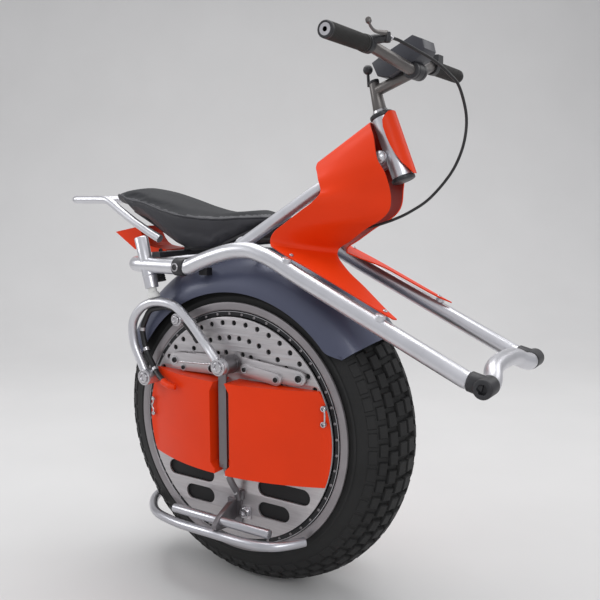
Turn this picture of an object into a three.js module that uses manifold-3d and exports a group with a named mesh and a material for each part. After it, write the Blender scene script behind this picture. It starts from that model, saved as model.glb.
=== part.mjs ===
// Self-balancing single-wheel scooter: a wide motorcycle wheel around a fixed hub that carries four
// batteries, a tube frame on two short struts, a saddle, an orange fairing and a handlebar.
// Millimetres. +X is forward, +Y is the rider's left, +Z is up, and the tyre touches the ground at
// the origin. Pieces of the right side are at negative Y, and the left side mirrors them.
import * as THREE from 'three';
import { ConvexGeometry } from 'three/addons/geometries/ConvexGeometry.js';
import { mergeVertices } from 'three/addons/utils/BufferGeometryUtils.js';
import Module from 'manifold-3d';

const wasm = await Module();
wasm.setup();

// ---- driving dimensions ----
const GAP = 0.3; // clearance between pieces that touch
const TYRE_RADIUS = 320;
const AXLE_Z = TYRE_RADIUS;
const TREAD_DEPTH = 8;
const TREAD_PITCHES = 36;
const WHEEL_SEGMENTS = 48;
const TYRE_HALF_WIDTH = 81;
const TYRE_CORE_RADIUS = 238;
const RIM_LIP_RADIUS = 238.7;
const RIM_HALF_WIDTH = 88;
const RIM_BARREL_RADIUS = 229;
const RIM_INNER_RADIUS = 222;
const PLATE_RADIUS = 212;
const PLATE_FACE_Y = -92; // outer face of the right side plate
const BATTERY_TOP_Z = 418;
const BATTERY_BOTTOM_Z = 245;
const BATTERY_DEPTH = 140; // how far a battery's face stands out from the wheel's mid-plane
const ARCH_Y = -120;
const ARCH_RADIUS = 8.7;
const LOOP_RADIUS = 8.7;
const RAIL_Y = -120;
const RAIL_RADIUS = 14.5;
const DIAGONAL_RADIUS = 11;
const STRUT_AXIS = new THREE.Vector3(-0.262, 0, 0.965);
const STRUT_FOOT = new THREE.Vector3(-168, ARCH_Y, 552);
const STRUT_TRAVEL = 8;
const HEAD_AXIS = new THREE.Vector3(-0.371, 0, 0.928).normalize();
const HEAD_TOP = new THREE.Vector3(250, 0, 892);
const HEAD_LENGTH = 122.8;
const HEAD_RADIUS = 18;
const CUP_RADIUS = 20.5;
const CLAMP = new THREE.Vector3(312, 0, 957);
const GRIP = new THREE.Vector3(287.6, 0, 982.6);
const BAR_RADIUS = 9.5;
const GRIP_RADIUS = 12.8;
const BAR_HALF_WIDTH = 246;
const SHEET = 2.5; // thickness of the fairing and the other covers

// ---- colours ----
const PAINT = {
  orange: { color: 0xe0491c, roughness: 0.38, metalness: 0.0 },
  silver: { color: 0xb9b6b4, roughness: 0.36, metalness: 0.9 },
  brushed: { color: 0xb5adb0, roughness: 0.45, metalness: 0.85 },
  darkMetal: { color: 0x6b6560, roughness: 0.4, metalness: 0.8 },
  slate: { color: 0x4a4d60, roughness: 0.25, metalness: 0.3 },
  rimGrey: { color: 0x6b6566, roughness: 0.45, metalness: 0.6 },
  black: { color: 0x1c1c1e, roughness: 0.55, metalness: 0.1 },
  tyre: { color: 0x2a2a2a, roughness: 0.9, metalness: 0.0 },
  vinyl: { color: 0x3a3a42, roughness: 0.6, metalness: 0.0 },
  rubber: { color: 0x35352f, roughness: 0.85, metalness: 0.0 },
  white: { color: 0xdcdcd8, roughness: 0.5, metalness: 0.0 },
};

const group = new THREE.Group();

// ---- helpers ----
const v = (x, y, z) => new THREE.Vector3(x, y, z);

// A three.js geometry as a manifold solid, turned right side out.
function solid(geometry) {
  const bare = geometry.clone();
  bare.deleteAttribute('normal');
  bare.deleteAttribute('uv');
  const merged = mergeVertices(bare, 1e-3);
  const position = merged.attributes.position;
  const triangles = [];
  let volume = 0;
  const corner = [v(0, 0, 0), v(0, 0, 0), v(0, 0, 0)];
  for (let i = 0; i < merged.index.count; i += 3) {
    const ids = [0, 1, 2].map((k) => merged.index.getX(i + k));
    if (new Set(ids).size < 3) continue;
    ids.forEach((id, k) => corner[k].fromBufferAttribute(position, id));
    volume += corner[0].dot(corner[1].clone().cross(corner[2]));
    triangles.push(ids);
  }
  if (volume < 0) triangles.forEach((ids) => ids.reverse());
  const vertProperties = new Float32Array(position.array);
  const triVerts = new Uint32Array(triangles.flat());
  return new wasm.Manifold(new wasm.Mesh({ numProp: 3, vertProperties, triVerts }));
}

function add(name, body, paint) {
  const mesh = body.simplify(0.01).getMesh();
  const geometry = new THREE.BufferGeometry();
  geometry.setAttribute('position', new THREE.BufferAttribute(mesh.vertProperties, 3));
  geometry.setIndex(new THREE.BufferAttribute(mesh.triVerts, 1));
  geometry.computeVertexNormals();
  const node = new THREE.Mesh(geometry, new THREE.MeshStandardMaterial(PAINT[paint]));
  node.name = name;
  group.add(node);
}

const mirrored = (body) => body.mirror([0, 1, 0]);
const both = (body) => body.add(mirrored(body));
const union = (bodies) => bodies.reduce((sum, body) => sum.add(body));

// The right-hand piece and its mirror image.
function addPair(name, body, paint) {
  add(`${name}_right`, body, paint);
  add(`${name}_left`, mirrored(body), paint);
}

function box(center, size) {
  return solid(new THREE.BoxGeometry(...size).translate(...center));
}

// A cylinder or cone from p to q.
function rod(p, q, radius, sides = 16, endRadius = radius) {
  const span = q.clone().sub(p);
  const geometry = new THREE.CylinderGeometry(endRadius, radius, span.length(), sides);
  const turn = new THREE.Quaternion().setFromUnitVectors(v(0, 1, 0), span.clone().normalize());
  const middle = p.clone().add(q).multiplyScalar(0.5);
  return solid(geometry.applyQuaternion(turn).translate(middle.x, middle.y, middle.z));
}

function ball(center, radius, sides = 12) {
  return solid(new THREE.SphereGeometry(radius, sides, sides / 2).translate(...center));
}

// A curve that steps through exactly its own points, so that straight runs cost no triangles.
class Route extends THREE.Curve {
  constructor(points) {
    super();
    this.points = points;
  }

  getPoint(t) {
    return this.points[Math.round(t * (this.points.length - 1))].clone();
  }

  getSpacedPoints() {
    return this.points.map((point) => point.clone());
  }

  getTangentAt(t) {
    const last = this.points.length - 1;
    const i = Math.round(t * last);
    const tangent = v(0, 0, 0);
    if (i > 0) tangent.add(this.points[i].clone().sub(this.points[i - 1]).normalize());
    if (i < last) tangent.add(this.points[i + 1].clone().sub(this.points[i]).normalize());
    return tangent.normalize();
  }
}

// The corner points with each inner corner rounded off over the given reach.
function rounded(corners, reach, steps = 4) {
  const points = [corners[0]];
  for (let i = 1; i < corners.length - 1; i += 1) {
    const before = corners[i - 1].clone().sub(corners[i]);
    const after = corners[i + 1].clone().sub(corners[i]);
    const start = corners[i].clone().addScaledVector(before.clone().normalize(), reach);
    const end = corners[i].clone().addScaledVector(after.clone().normalize(), reach);
    points.push(...new THREE.QuadraticBezierCurve3(start, corners[i], end).getPoints(steps));
  }
  points.push(corners[corners.length - 1]);
  return points;
}

function circle(radius, sides) {
  const points = [];
  for (let i = 0; i < sides; i += 1) {
    const angle = (2 * Math.PI * i) / sides;
    points.push(new THREE.Vector2(radius * Math.cos(angle), radius * Math.sin(angle)));
  }
  return points;
}

function tube(points, radius, sides = 12) {
  const section = new THREE.Shape(circle(radius, sides));
  const extrudePath = new Route(points);
  const steps = points.length - 1;
  return solid(new THREE.ExtrudeGeometry(section, { steps, extrudePath, bevelEnabled: false }));
}

// A ring or disc turned about the axle, from [radius, y] pairs.
function turned(profile, segments) {
  const points = profile.map(([radius, y]) => new THREE.Vector2(radius, y));
  if (profile[0][0] > 0) points.push(points[0].clone());
  return solid(new THREE.LatheGeometry(points, segments).translate(0, 0, AXLE_Z));
}

const shapeOf = (points) => new THREE.Shape(points.map(([a, b]) => new THREE.Vector2(a, b)));

// A side-view outline (x, z) as a plate between two y planes.
function sidePlate(shape, yNear, yFar, curveSegments = 8) {
  const depth = Math.abs(yFar - yNear);
  const geometry = new THREE.ExtrudeGeometry(shape, { depth, bevelEnabled: false, curveSegments });
  return solid(geometry.rotateX(Math.PI / 2).translate(0, Math.max(yNear, yFar), 0));
}

// A plan outline (x, y) as a plate between two z planes.
function planPlate(shape, zLow, zHigh, curveSegments = 8) {
  const depth = zHigh - zLow;
  const geometry = new THREE.ExtrudeGeometry(shape, { depth, bevelEnabled: false, curveSegments });
  return solid(geometry.translate(0, 0, zLow));
}

// A cross-section (y, z) as a plate between two x planes.
function crossPlate(shape, xLow, xHigh) {
  const geometry = new THREE.ExtrudeGeometry(shape, { depth: xHigh - xLow, bevelEnabled: false });
  return solid(geometry.rotateY(Math.PI / 2).rotateX(Math.PI / 2).translate(xLow, 0, 0));
}

// A folded sheet of even thickness through rows of points, the first half mirroring the second.
function sheet(rows, thickness) {
  const width = rows[0].length;
  const points = rows.flat();
  const faces = [];
  for (let r = 0; r < rows.length - 1; r += 1) {
    for (let c = 0; c < width - 1; c += 1) {
      const a = r * width + c;
      const b = a + width;
      if (r < (rows.length - 1) / 2) faces.push([a, a + 1, b + 1], [a, b + 1, b]);
      else faces.push([a, a + 1, b], [a + 1, b + 1, b]);
    }
  }
  const middle = new THREE.BufferGeometry().setFromPoints(points);
  middle.setIndex(faces.flat());
  middle.computeVertexNormals();
  const normal = middle.attributes.normal;
  const offset = (i, side) => {
    const n = v(0, 0, 0).fromBufferAttribute(normal, i);
    return points[i].clone().addScaledVector(n, (side * thickness) / 2);
  };
  const count = points.length;
  const shell = points.map((_, i) => offset(i, 1)).concat(points.map((_, i) => offset(i, -1)));
  const index = [];
  const edges = new Map();
  faces.forEach(([a, b, c]) => {
    index.push(a, b, c, c + count, b + count, a + count);
    [[a, b], [b, c], [c, a]].forEach(([p, q]) => edges.set(`${p},${q}`, [p, q]));
  });
  edges.forEach(([p, q]) => {
    if (edges.has(`${q},${p}`)) return;
    index.push(q, p, p + count, q, p + count, q + count);
  });
  const closed = new THREE.BufferGeometry().setFromPoints(shell);
  closed.setIndex(index);
  return solid(closed);
}

const along = (from, direction, distance) => from.clone().addScaledVector(direction, distance);

// ---- wheel ----
// Round carcass open towards the rim, a rib along each shoulder and a row of blocks on the crown.
function tyre() {
  const crown = TYRE_RADIUS - TREAD_DEPTH - TYRE_CORE_RADIUS;
  const bead = RIM_BARREL_RADIUS + 1.4;
  const bulge = (angle, height, halfWidth) => [
    TYRE_CORE_RADIUS + height * Math.sin(angle), halfWidth * Math.cos(angle),
  ];
  const half = [[bead, 79.4], [RIM_LIP_RADIUS + 1, 79.4], bulge(0.1, crown, TYRE_HALF_WIDTH)];
  half.push(bulge(0.35, crown, TYRE_HALF_WIDTH));
  half.push(bulge(0.62, crown, TYRE_HALF_WIDTH), bulge(0.66, crown + 7, TYRE_HALF_WIDTH + 3));
  half.push(bulge(0.98, crown + 7, TYRE_HALF_WIDTH + 3), bulge(1.02, crown, TYRE_HALF_WIDTH));
  half.push([TYRE_CORE_RADIUS + crown, 20]);
  const inside = [[bead, 66], bulge(0.5, crown - 12, 68), bulge(1.2, crown - 12, 68)];
  const across = (points) => [...points, ...points.slice().reverse().map(([r, y]) => [r, -y])];
  let body = turned([...across(half), ...across(inside).reverse()], TREAD_PITCHES);
  for (let i = 0; i < TREAD_PITCHES; i += 1) {
    const block = new THREE.BoxGeometry(34, 44, 14).translate(0, 0, 7 - TYRE_RADIUS);
    block.rotateY((i * 2 * Math.PI) / TREAD_PITCHES).translate(0, 0, AXLE_Z);
    body = body.add(solid(block));
  }
  add('tyre', body, 'tyre');
}

function rim() {
  const lip = RIM_HALF_WIDTH;
  const profile = [
    [RIM_INNER_RADIUS, -(lip - 8)], [RIM_INNER_RADIUS + 2, -lip], [RIM_LIP_RADIUS, -lip],
    [RIM_LIP_RADIUS, -(lip - 8)], [RIM_BARREL_RADIUS, -(lip - 8)], [RIM_BARREL_RADIUS, lip - 8],
    [RIM_LIP_RADIUS, lip - 8], [RIM_LIP_RADIUS, lip], [RIM_INNER_RADIUS + 2, lip],
    [RIM_INNER_RADIUS, lip - 8],
  ];
  add('rim', turned(profile, WHEEL_SEGMENTS), 'rimGrey');
  const ring = [[214.5, -74], [221.2, -74], [221.2, 74], [214.5, 74]];
  add('drive_ring', turned(ring, WHEEL_SEGMENTS), 'black');
}

// ---- hub ----
function hub() {
  const core = [
    [0, -87], [40, -87], [40, -5], [196, -5], [196, -74], [212.8, -74], [212.8, 74], [196, 74],
    [196, 5], [40, 5], [40, 87], [0, 87],
  ];
  add('hub_core', turned(core, 36), 'darkMetal');
}

// Side plate with two rows of cooling slots.
function sidePlates() {
  const outline = new THREE.Shape(circle(PLATE_RADIUS, WHEEL_SEGMENTS));
  const slots = [[52, 166, -103], [52, 122, -145]];
  slots.forEach(([inner, outer, z]) => {
    [1, -1].forEach((side) => {
      const hole = new THREE.Path();
      const ends = [inner + 15, outer - 15].map((x) => x * side).sort((a, b) => a - b);
      hole.absarc(ends[1], z, 15, -Math.PI / 2, Math.PI / 2, false);
      hole.absarc(ends[0], z, 15, Math.PI / 2, 1.5 * Math.PI, false);
      outline.holes.push(hole);
    });
  });
  const plate = sidePlate(outline, PLATE_FACE_Y, PLATE_FACE_Y + 4, 5).translate([0, 0, AXLE_Z]);
  addPair('side_plate', plate, 'brushed');
}

const batteryFace = (x) => -(BATTERY_DEPTH - 0.0012 * x * x);

// One battery box: a bowed outer face, its far end round like the rim, a stepped inner edge.
function batteries() {
  const plan = [[8, PLATE_FACE_Y - 0.5]];
  for (let i = 0; i <= 7; i += 1) {
    const x = 8 + (193 * i) / 7;
    plan.push([x, Math.min(batteryFace(x), PLATE_FACE_Y - 1.5)]);
  }
  plan.push([211, PLATE_FACE_Y - 1.5], [211, PLATE_FACE_Y - 0.5]);
  const block = planPlate(shapeOf(plan), BATTERY_BOTTOM_Z, BATTERY_TOP_Z);
  const radius = PLATE_RADIUS - 1;
  const low = Math.asin((BATTERY_BOTTOM_Z - AXLE_Z) / radius);
  const high = Math.asin((BATTERY_TOP_Z - AXLE_Z) / radius);
  const front = new THREE.Shape();
  front.moveTo(12, BATTERY_BOTTOM_Z);
  front.absarc(0, AXLE_Z, radius, low, high, false);
  front.lineTo(12, BATTERY_TOP_Z);
  front.lineTo(22, BATTERY_TOP_Z - 18);
  front.lineTo(22, BATTERY_BOTTOM_Z + 19);
  front.lineTo(12, BATTERY_BOTTOM_Z + 9);
  let box1 = block.intersect(sidePlate(front, -80, -160, 10));
  const legBolt = rod(v(194, -80, 401), v(194, -160, 401), 18.5, 16);
  const rear = box1.subtract(legBolt).mirror([1, 0, 0]);
  addPair('battery_front', box1, 'orange');
  addPair('battery_rear', rear, 'orange');
}

// Catch on each battery near the rim: two screws and the bail between them.
function catches() {
  const foot = (z) => rod(v(200, -96.6, z), v(200, -104, z), 5, 8);
  const bail = rod(v(200, -101, 362), v(200, -101, 390), 2.4, 8);
  const body = union([foot(361), foot(391), bail]);
  addPair('battery_catch_front', body, 'brushed');
  addPair('battery_catch_rear', body.mirror([1, 0, 0]).translate([0, 0, -40]), 'brushed');
}

// Upright bar between the batteries, its spacer at the top and the toggle link at its foot.
function centreBars() {
  const top = rod(v(0, PLATE_FACE_Y - GAP, 446), v(0, -129.5, 446), 16.5, 16);
  const link = tube([v(0, -125, 258), v(8, -118, 228), v(12, -105, 203), v(12, -97, 186)], 5, 8);
  const foot = box([12, -96.4, 196], [20, 8, 18]);
  addPair('centre_bar', union([top, box([0, -127, 350], [18, 5, 190]), link, foot]), 'darkMetal');
}

// Arched tube that stands on the hub and carries the strut.
function arches() {
  const points = [
    v(-2, ARCH_Y, 446), v(-45, ARCH_Y, 481), v(-81, ARCH_Y, 519), v(-110, ARCH_Y, 542),
    v(-128, ARCH_Y, 549.5), v(-150, ARCH_Y, 552), v(-170, ARCH_Y, 551), v(-188, ARCH_Y, 546),
    v(-206, ARCH_Y, 536), v(-222, ARCH_Y, 519), v(-230, ARCH_Y, 498), v(-226, ARCH_Y, 462),
    v(-207, ARCH_Y, 424), v(-197, ARCH_Y, 401),
  ];
  const lowerEnd = rod(v(0, -129.8, 446), v(0, -143, 446), 15.5, 16);
  const upperLeg = tube([v(0, -134, 446), v(-16, -128, 457), ...points.slice(1)], ARCH_RADIUS, 10);
  const boss = rod(v(-194, PLATE_FACE_Y - GAP, 401), v(-194, -131, 401), 16, 16);
  const clevis = rod(v(-110, ARCH_Y + 9, 522), v(-110, ARCH_Y - 7, 522), 12, 12);
  const spacer = rod(v(0, PLATE_FACE_Y, 446), v(0, -129.8, 446), 17, 16);
  const arch = union([lowerEnd, upperLeg.subtract(spacer), boss, clevis]);
  addPair('arch_tube', arch, 'silver');
  const top = STRUT_FOOT.clone();
  const bushing = rod(along(top, STRUT_AXIS, 9), along(top, STRUT_AXIS, 18), 12, 12);
  const pin = rod(along(top, STRUT_AXIS, 9), along(top, STRUT_AXIS, 92), 8, 12);
  addPair('strut_rod', bushing.add(pin).subtract(arch.translate([0, 0, GAP])), 'white');
}

// Brake arms above the batteries and the cable that pulls the rear one.
function brakes() {
  const plateY = -99;
  const rearShape = new THREE.Shape();
  rearShape.moveTo(-22, 423);
  rearShape.lineTo(-22, 461);
  rearShape.lineTo(-136, 453);
  rearShape.absarc(-134, 439, 14, Math.PI / 2, 1.35 * Math.PI, false);
  rearShape.lineTo(-112, 420.5);
  const rearPlate = sidePlate(rearShape, plateY, plateY - 7, 6);
  const pivot = rod(v(-134, -106, 439), v(-134, -110, 439), 7, 10);
  addPair('brake_arm', union([rearPlate, pivot]), 'brushed');
  const frontShape = new THREE.Shape();
  frontShape.moveTo(24, 424);
  frontShape.lineTo(140, 422);
  frontShape.absarc(147, 436, 13.5, -Math.PI / 2, Math.PI / 2, false);
  frontShape.lineTo(24, 461);
  const front = sidePlate(frontShape, -96, -100.5, 6);
  const linkShape = new THREE.Shape();
  linkShape.absarc(34, 440, 10, Math.PI / 2, 1.5 * Math.PI, false);
  linkShape.absarc(103, 430, 11, -Math.PI / 2, Math.PI / 2, false);
  const link = sidePlate(linkShape, -100, -107, 6);
  addPair('brake_stay', front.add(link), 'brushed');
}

function hoses() {
  const route = rounded([
    v(-119, -107, 536), v(-150, -107, 541), v(-192, -107, 528), v(-214, -107, 493),
    v(-202, -107, 452), v(-172, -112, 416), v(-156, -121, 404), v(-141, -125.5, 397),
  ], 9, 2);
  addPair('hose', tube(route, 5.5, 8), 'black');
}

// Bracket on the lower side plate, its foot peg, and the guard loop round the tyre.
function feet() {
  const outline = [
    [-92.4, 176], [-92.4, 146], [-120, 124], [-158, 117], [-170, 128], [-170, 148],
    [-176, 158], [-176, 168], [-150, 176], [-112, 184],
  ];
  const loopHole = rod(v(-20, -153, 134), v(20, -153, 134), LOOP_RADIUS + 0.6, 12);
  const pegHole = rod(v(-20, -141, 157), v(20, -141, 157), 9.2, 12);
  const bracket = crossPlate(shapeOf(outline), -5, 5);
  addPair('foot_bracket', bracket.subtract(loopHole).subtract(pegHole), 'darkMetal');
  addPair('foot_peg', rod(v(-112, -141, 157), v(112, -141, 157), 8.5, 12), 'darkMetal');
  const right = [
    v(161, -100, 140), v(146, -121, 139), v(125, -142, 138), v(100, -152, 137), v(68, -155, 136),
    v(20, -153, 134), v(-20, -153, 134), v(-92, -146, 130), v(-142, -135, 128), v(-169, -125, 126),
    v(-197, -107, 124), v(-230, -74, 120), v(-254, -38, 117),
  ];
  const left = right.map((point) => v(point.x, -point.y, point.z)).reverse();
  add('guard_loop', tube([...right, v(-264, 0, 115), ...left], LOOP_RADIUS, 10), 'darkMetal');
}

// ---- frame ----
const railLine = [
  [-87, 623], [-80, 623.5], [-54, 634], [-19, 646], [12, 654.5], [38, 658], [62, 657.5], [84, 652],
  [110, 642.5], [162, 617], [220, 590], [448, 484], [456, 480.2], [463, 478.5],
];

function rails() {
  const rail = tube(railLine.map(([x, z]) => v(x, RAIL_Y, z)), RAIL_RADIUS, 10);
  const tip = v(262, -24, 818);
  const line = [v(20, -115, 657), v(148, -51, 759), v(158, -46, 766), v(169, -43.7, 771.4), tip];
  const diagonal = tube(line, DIAGONAL_RADIUS, 10).add(ball([tip.x, tip.y, tip.z], DIAGONAL_RADIUS, 10));
  addPair('rail', rail.add(diagonal), 'silver');
  const end = v(463, RAIL_Y, 478.5);
  const collar = rod(v(-112, RAIL_Y, 622.2), v(-88.6, RAIL_Y, 622.2), 17.5, 16);
  addPair('collar', collar.subtract(rod(v(-97, RAIL_Y - 12, 622.7), v(-97, RAIL_Y - 20, 622.7), 5, 8)), 'black');
  const corner = v(490, -124, 472);
  const elbowWay = v(0.972, 0, -0.234);
  const elbow = union([
    rod(along(end, elbowWay, 0.6), along(end, elbowWay, 28), 16, 16),
    rod(v(corner.x, -139, corner.z), v(corner.x, -103.9, corner.z), 15.8, 16),
  ]);
  const socket = rod(v(corner.x, -140, corner.z), v(corner.x, -134, corner.z), 6.5, 6);
  addPair('front_elbow', elbow.subtract(socket), 'black');
  const half = [
    v(corner.x, -103.4, corner.z), v(corner.x, -95, corner.z), v(486, -78, 477), v(480, -60, 485),
    v(477, -35, 489),
  ];
  const cross = [...half, v(476.5, 0, 490), ...half.map((p) => v(p.x, -p.y, p.z)).reverse()];
  add('cross_tube', tube(cross, 14.5, 12), 'silver');
}

// U-shaped rear tube with the two strut sleeves welded through it.
function rearHoop() {
  const corners = [
    v(-112.4, RAIL_Y, 621.5), v(-238, RAIL_Y, 621.5), v(-238, -RAIL_Y, 621.5), v(-112.4, -RAIL_Y, 621.5),
  ];
  const hoop = tube(rounded(corners, 48, 4), RAIL_RADIUS, 10);
  const foot = along(STRUT_FOOT, STRUT_AXIS, 18 + STRUT_TRAVEL + 1);
  const sleeve = rod(foot, along(foot, STRUT_AXIS, 100), 13, 12);
  const bore = rod(along(foot, STRUT_AXIS, -5), along(foot, STRUT_AXIS, 80), 9.2, 12);
  add('rear_hoop', hoop.add(both(sleeve)).subtract(both(bore)), 'silver');
  const lower = v(-176, -92, 588);
  const damper = rod(lower, along(lower, STRUT_AXIS, 31.5), 9.5, 12);
  addPair('damper', damper, 'black');
}

function fender() {
  const outer = [[258, 98], [282, 94], [300, 82], [317, 63], [330, 38], [335.5, 15]];
  const inner = outer.map(([radius, y]) => [radius - (radius > 290 ? 3 : 0), y - (radius > 290 ? 1.5 : 3)]);
  const skin = (half) => [...half, ...half.slice().reverse().map(([radius, y]) => [radius, -y])];
  const profile = [...skin(outer), ...skin(inner).reverse()];
  const shell = turned(profile, WHEEL_SEGMENTS);
  const wedge = new THREE.Shape();
  const at = (degrees, radius) => {
    const angle = THREE.MathUtils.degToRad(degrees);
    return [radius * Math.cos(angle), AXLE_Z + radius * Math.sin(angle)];
  };
  wedge.moveTo(...at(155, 240));
  wedge.lineTo(...at(155, 400));
  wedge.lineTo(-100, 760);
  wedge.lineTo(200, 760);
  wedge.lineTo(...at(34.5, 400));
  wedge.lineTo(...at(34.5, 282));
  wedge.quadraticCurveTo(...at(34.8, 260), ...at(40, 240));
  const body = shell.intersect(sidePlate(wedge, 110, -110, 6));
  const tab = box([-62, -94.2, 611], [20, 18.6, 34]);
  add('fender', both(body.add(tab)), 'slate');
}

function headTube() {
  const top = HEAD_TOP;
  const bottom = along(top, HEAD_AXIS, -HEAD_LENGTH);
  const lug = box([258, 0, 812], [16, 24, 20]);
  const shell = rod(along(bottom, HEAD_AXIS, 4), along(top, HEAD_AXIS, -4), HEAD_RADIUS, 20).add(lug);
  const cup = (from, to) => rod(along(top, HEAD_AXIS, from), along(top, HEAD_AXIS, to), CUP_RADIUS, 20);
  const cups = cup(-8, 0).add(cup(-HEAD_LENGTH, 8 - HEAD_LENGTH));
  const bore = rod(along(bottom, HEAD_AXIS, -5), along(top, HEAD_AXIS, 5), 12, 12);
  add('head_tube', shell.add(cups).subtract(bore), 'silver');
}

// Curved orange shield round the front of the head tube.
function headShield() {
  const top = along(HEAD_TOP, HEAD_AXIS, -5);
  const bottom = along(HEAD_TOP, HEAD_AXIS, -118);
  const shell = rod(bottom, top, 23.2, 24, 24).subtract(
    rod(along(bottom, HEAD_AXIS, -1), along(top, HEAD_AXIS, 1), 21, 24, 21.8),
  );
  const keep = new THREE.Shape();
  keep.moveTo(252, 905);
  keep.quadraticCurveTo(256, 850, 312, 784);
  keep.lineTo(340, 784);
  keep.lineTo(290, 905);
  add('head_shield', shell.intersect(sidePlate(keep, -40, 40, 6)), 'orange');
}

// Folded fairing: each row runs from the rear edge to the front edge, from ridge to notch.
function fairing() {
  const rows = [
    [v(127, 0, 813), v(231, 0, 878)],
    [v(132, -18, 803), v(241, -18, 867)],
    [v(147, -39, 792), v(254, -34, 851)],
    [v(159, -56, 781), v(266, -44, 815)],
    [v(170, -66, 763), v(278, -38, 791)],
    [v(171, -76, 753), v(282, -26, 763)],
    [v(160, -84, 740), v(282, -22, 741)],
    [v(143, -90, 727), v(276, -20, 726)],
    [v(119, -100, 707), v(260, -19, 712)],
    [v(104, -107, 694), v(233, -18, 697)],
    [v(98, -111, 684), v(201, -16, 675)],
    [v(98, -114, 675), v(180, -16, 662)],
    [v(102, -118, 668), v(176, -18, 651)],
    [v(132, -120, 653.5), v(192, -36, 641)],
    [v(185, -120, 630.5), v(228, -65, 623)],
    [v(240, -120, 605), v(265, -80, 602)],
    [v(300, -120, 577), v(313, -102, 573.5)],
    [v(336, -120, 560.5), v(341, -116, 560)],
  ];
  const widened = rows.map(([rear, front]) => {
    const row = [];
    for (let i = 0; i <= 2; i += 1) row.push(rear.clone().lerp(front, i / 2));
    return row;
  });
  const left = widened.slice(1).map((row) => row.map((point) => v(point.x, -point.y, point.z)));
  add('fairing', sheet([...left.reverse(), ...widened], SHEET), 'orange');
}

// ---- saddle ----
// Stations of the cushion: x, crown z, seam half width, seam z, underside half width, underside z.
const saddleStations = [
  [58, 720, 22, 717, 16, 713], [30, 726, 40, 720, 32, 702], [-40, 721, 60, 716, 50, 674],
  [-85, 721, 70, 715, 60, 658], [-137, 733, 78, 718, 62, 653], [-176, 745, 80, 725, 62, 668],
  [-235, 760, 80, 742, 60, 700], [-290, 768, 77, 752, 58, 727], [-325, 771, 70, 761, 58, 743],
  [-345, 770, 62, 762, 52, 746], [-358, 766, 50, 759, 44, 749],
];

function saddleSection([x, crown, seam, seamZ, under, underZ]) {
  const half = [
    [under, underZ], [seam + 3, seamZ - (seamZ - underZ) * 0.3], [seam, seamZ],
    [seam * 0.5, crown - (crown - seamZ) * 0.2],
  ];
  const right = half.map(([y, z]) => v(x, -y, z));
  return [...right, v(x, 0, crown), ...half.map(([y, z]) => v(x, y, z))];
}

function saddle() {
  const sections = saddleStations.map(saddleSection);
  const slices = sections.slice(1).map((section, i) => solid(new ConvexGeometry([...sections[i], ...section])));
  add('seat_pad', union(slices), 'vinyl');
  const under = saddleStations.slice(1, 8).map((station) => [station[0], station[5] - 1]);
  const pan = [...under, ...under.slice().reverse().map(([x, z]) => [x, z - 5])];
  const hoopSide = rod(v(-260, RAIL_Y, 621.5), v(-100, RAIL_Y, 621.5), RAIL_RADIUS + 2 * GAP);
  const bar = box([-165, 0, 642], [20, 236, 10]).subtract(both(hoopSide));
  const rear = bar.add(box([-165, 0, 652], [12, 60, 16]));
  const front = rod(v(22, -98.3, 670), v(22, 98.3, 670), 7, 10).add(box([10, 0, 678], [24, 60, 20]));
  add('seat_base', union([sidePlate(shapeOf(pan), -46, 46), rear, front]), 'black');
}

function grabLoop() {
  const half = [
    v(-176, -72, 661), v(-225, -72, 682), v(-265, -72, 702), v(-305, -72, 725), v(-338, -72, 746),
    v(-440, -72, 746),
  ];
  const corners = [...half, ...half.map((p) => v(p.x, -p.y, p.z)).reverse()];
  const bends = rounded(corners.slice(3, 9), 14, 2);
  add('grab_loop', tube([...corners.slice(0, 3), ...bends, ...corners.slice(9)], 8.2, 10), 'silver');
}

// Orange tail cover: a wedge open below, with two arms that rest on the rear hoop.
function tail() {
  const outline = (drop) => {
    const shape = new THREE.Shape();
    shape.moveTo(-359 + 2 * drop, 678 - drop / 2);
    shape.lineTo(-285 - drop, 692 - drop);
    shape.lineTo(-285 - drop, 677);
    shape.quadraticCurveTo(-272, 650 - drop, -250, 649 - drop);
    shape.lineTo(-217, 645.5 - drop);
    shape.lineTo(-217, 637.5 - 9 * drop);
    shape.lineTo(-262, 638.5 - 9 * drop);
    shape.lineTo(-304, 643 - 9 * drop);
    return shape;
  };
  const cover = sidePlate(outline(0), -33, 33, 4).subtract(sidePlate(outline(SHEET), -33 + SHEET, 33 - SHEET, 4));
  add('tail_piece', cover, 'orange');
}

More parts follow.
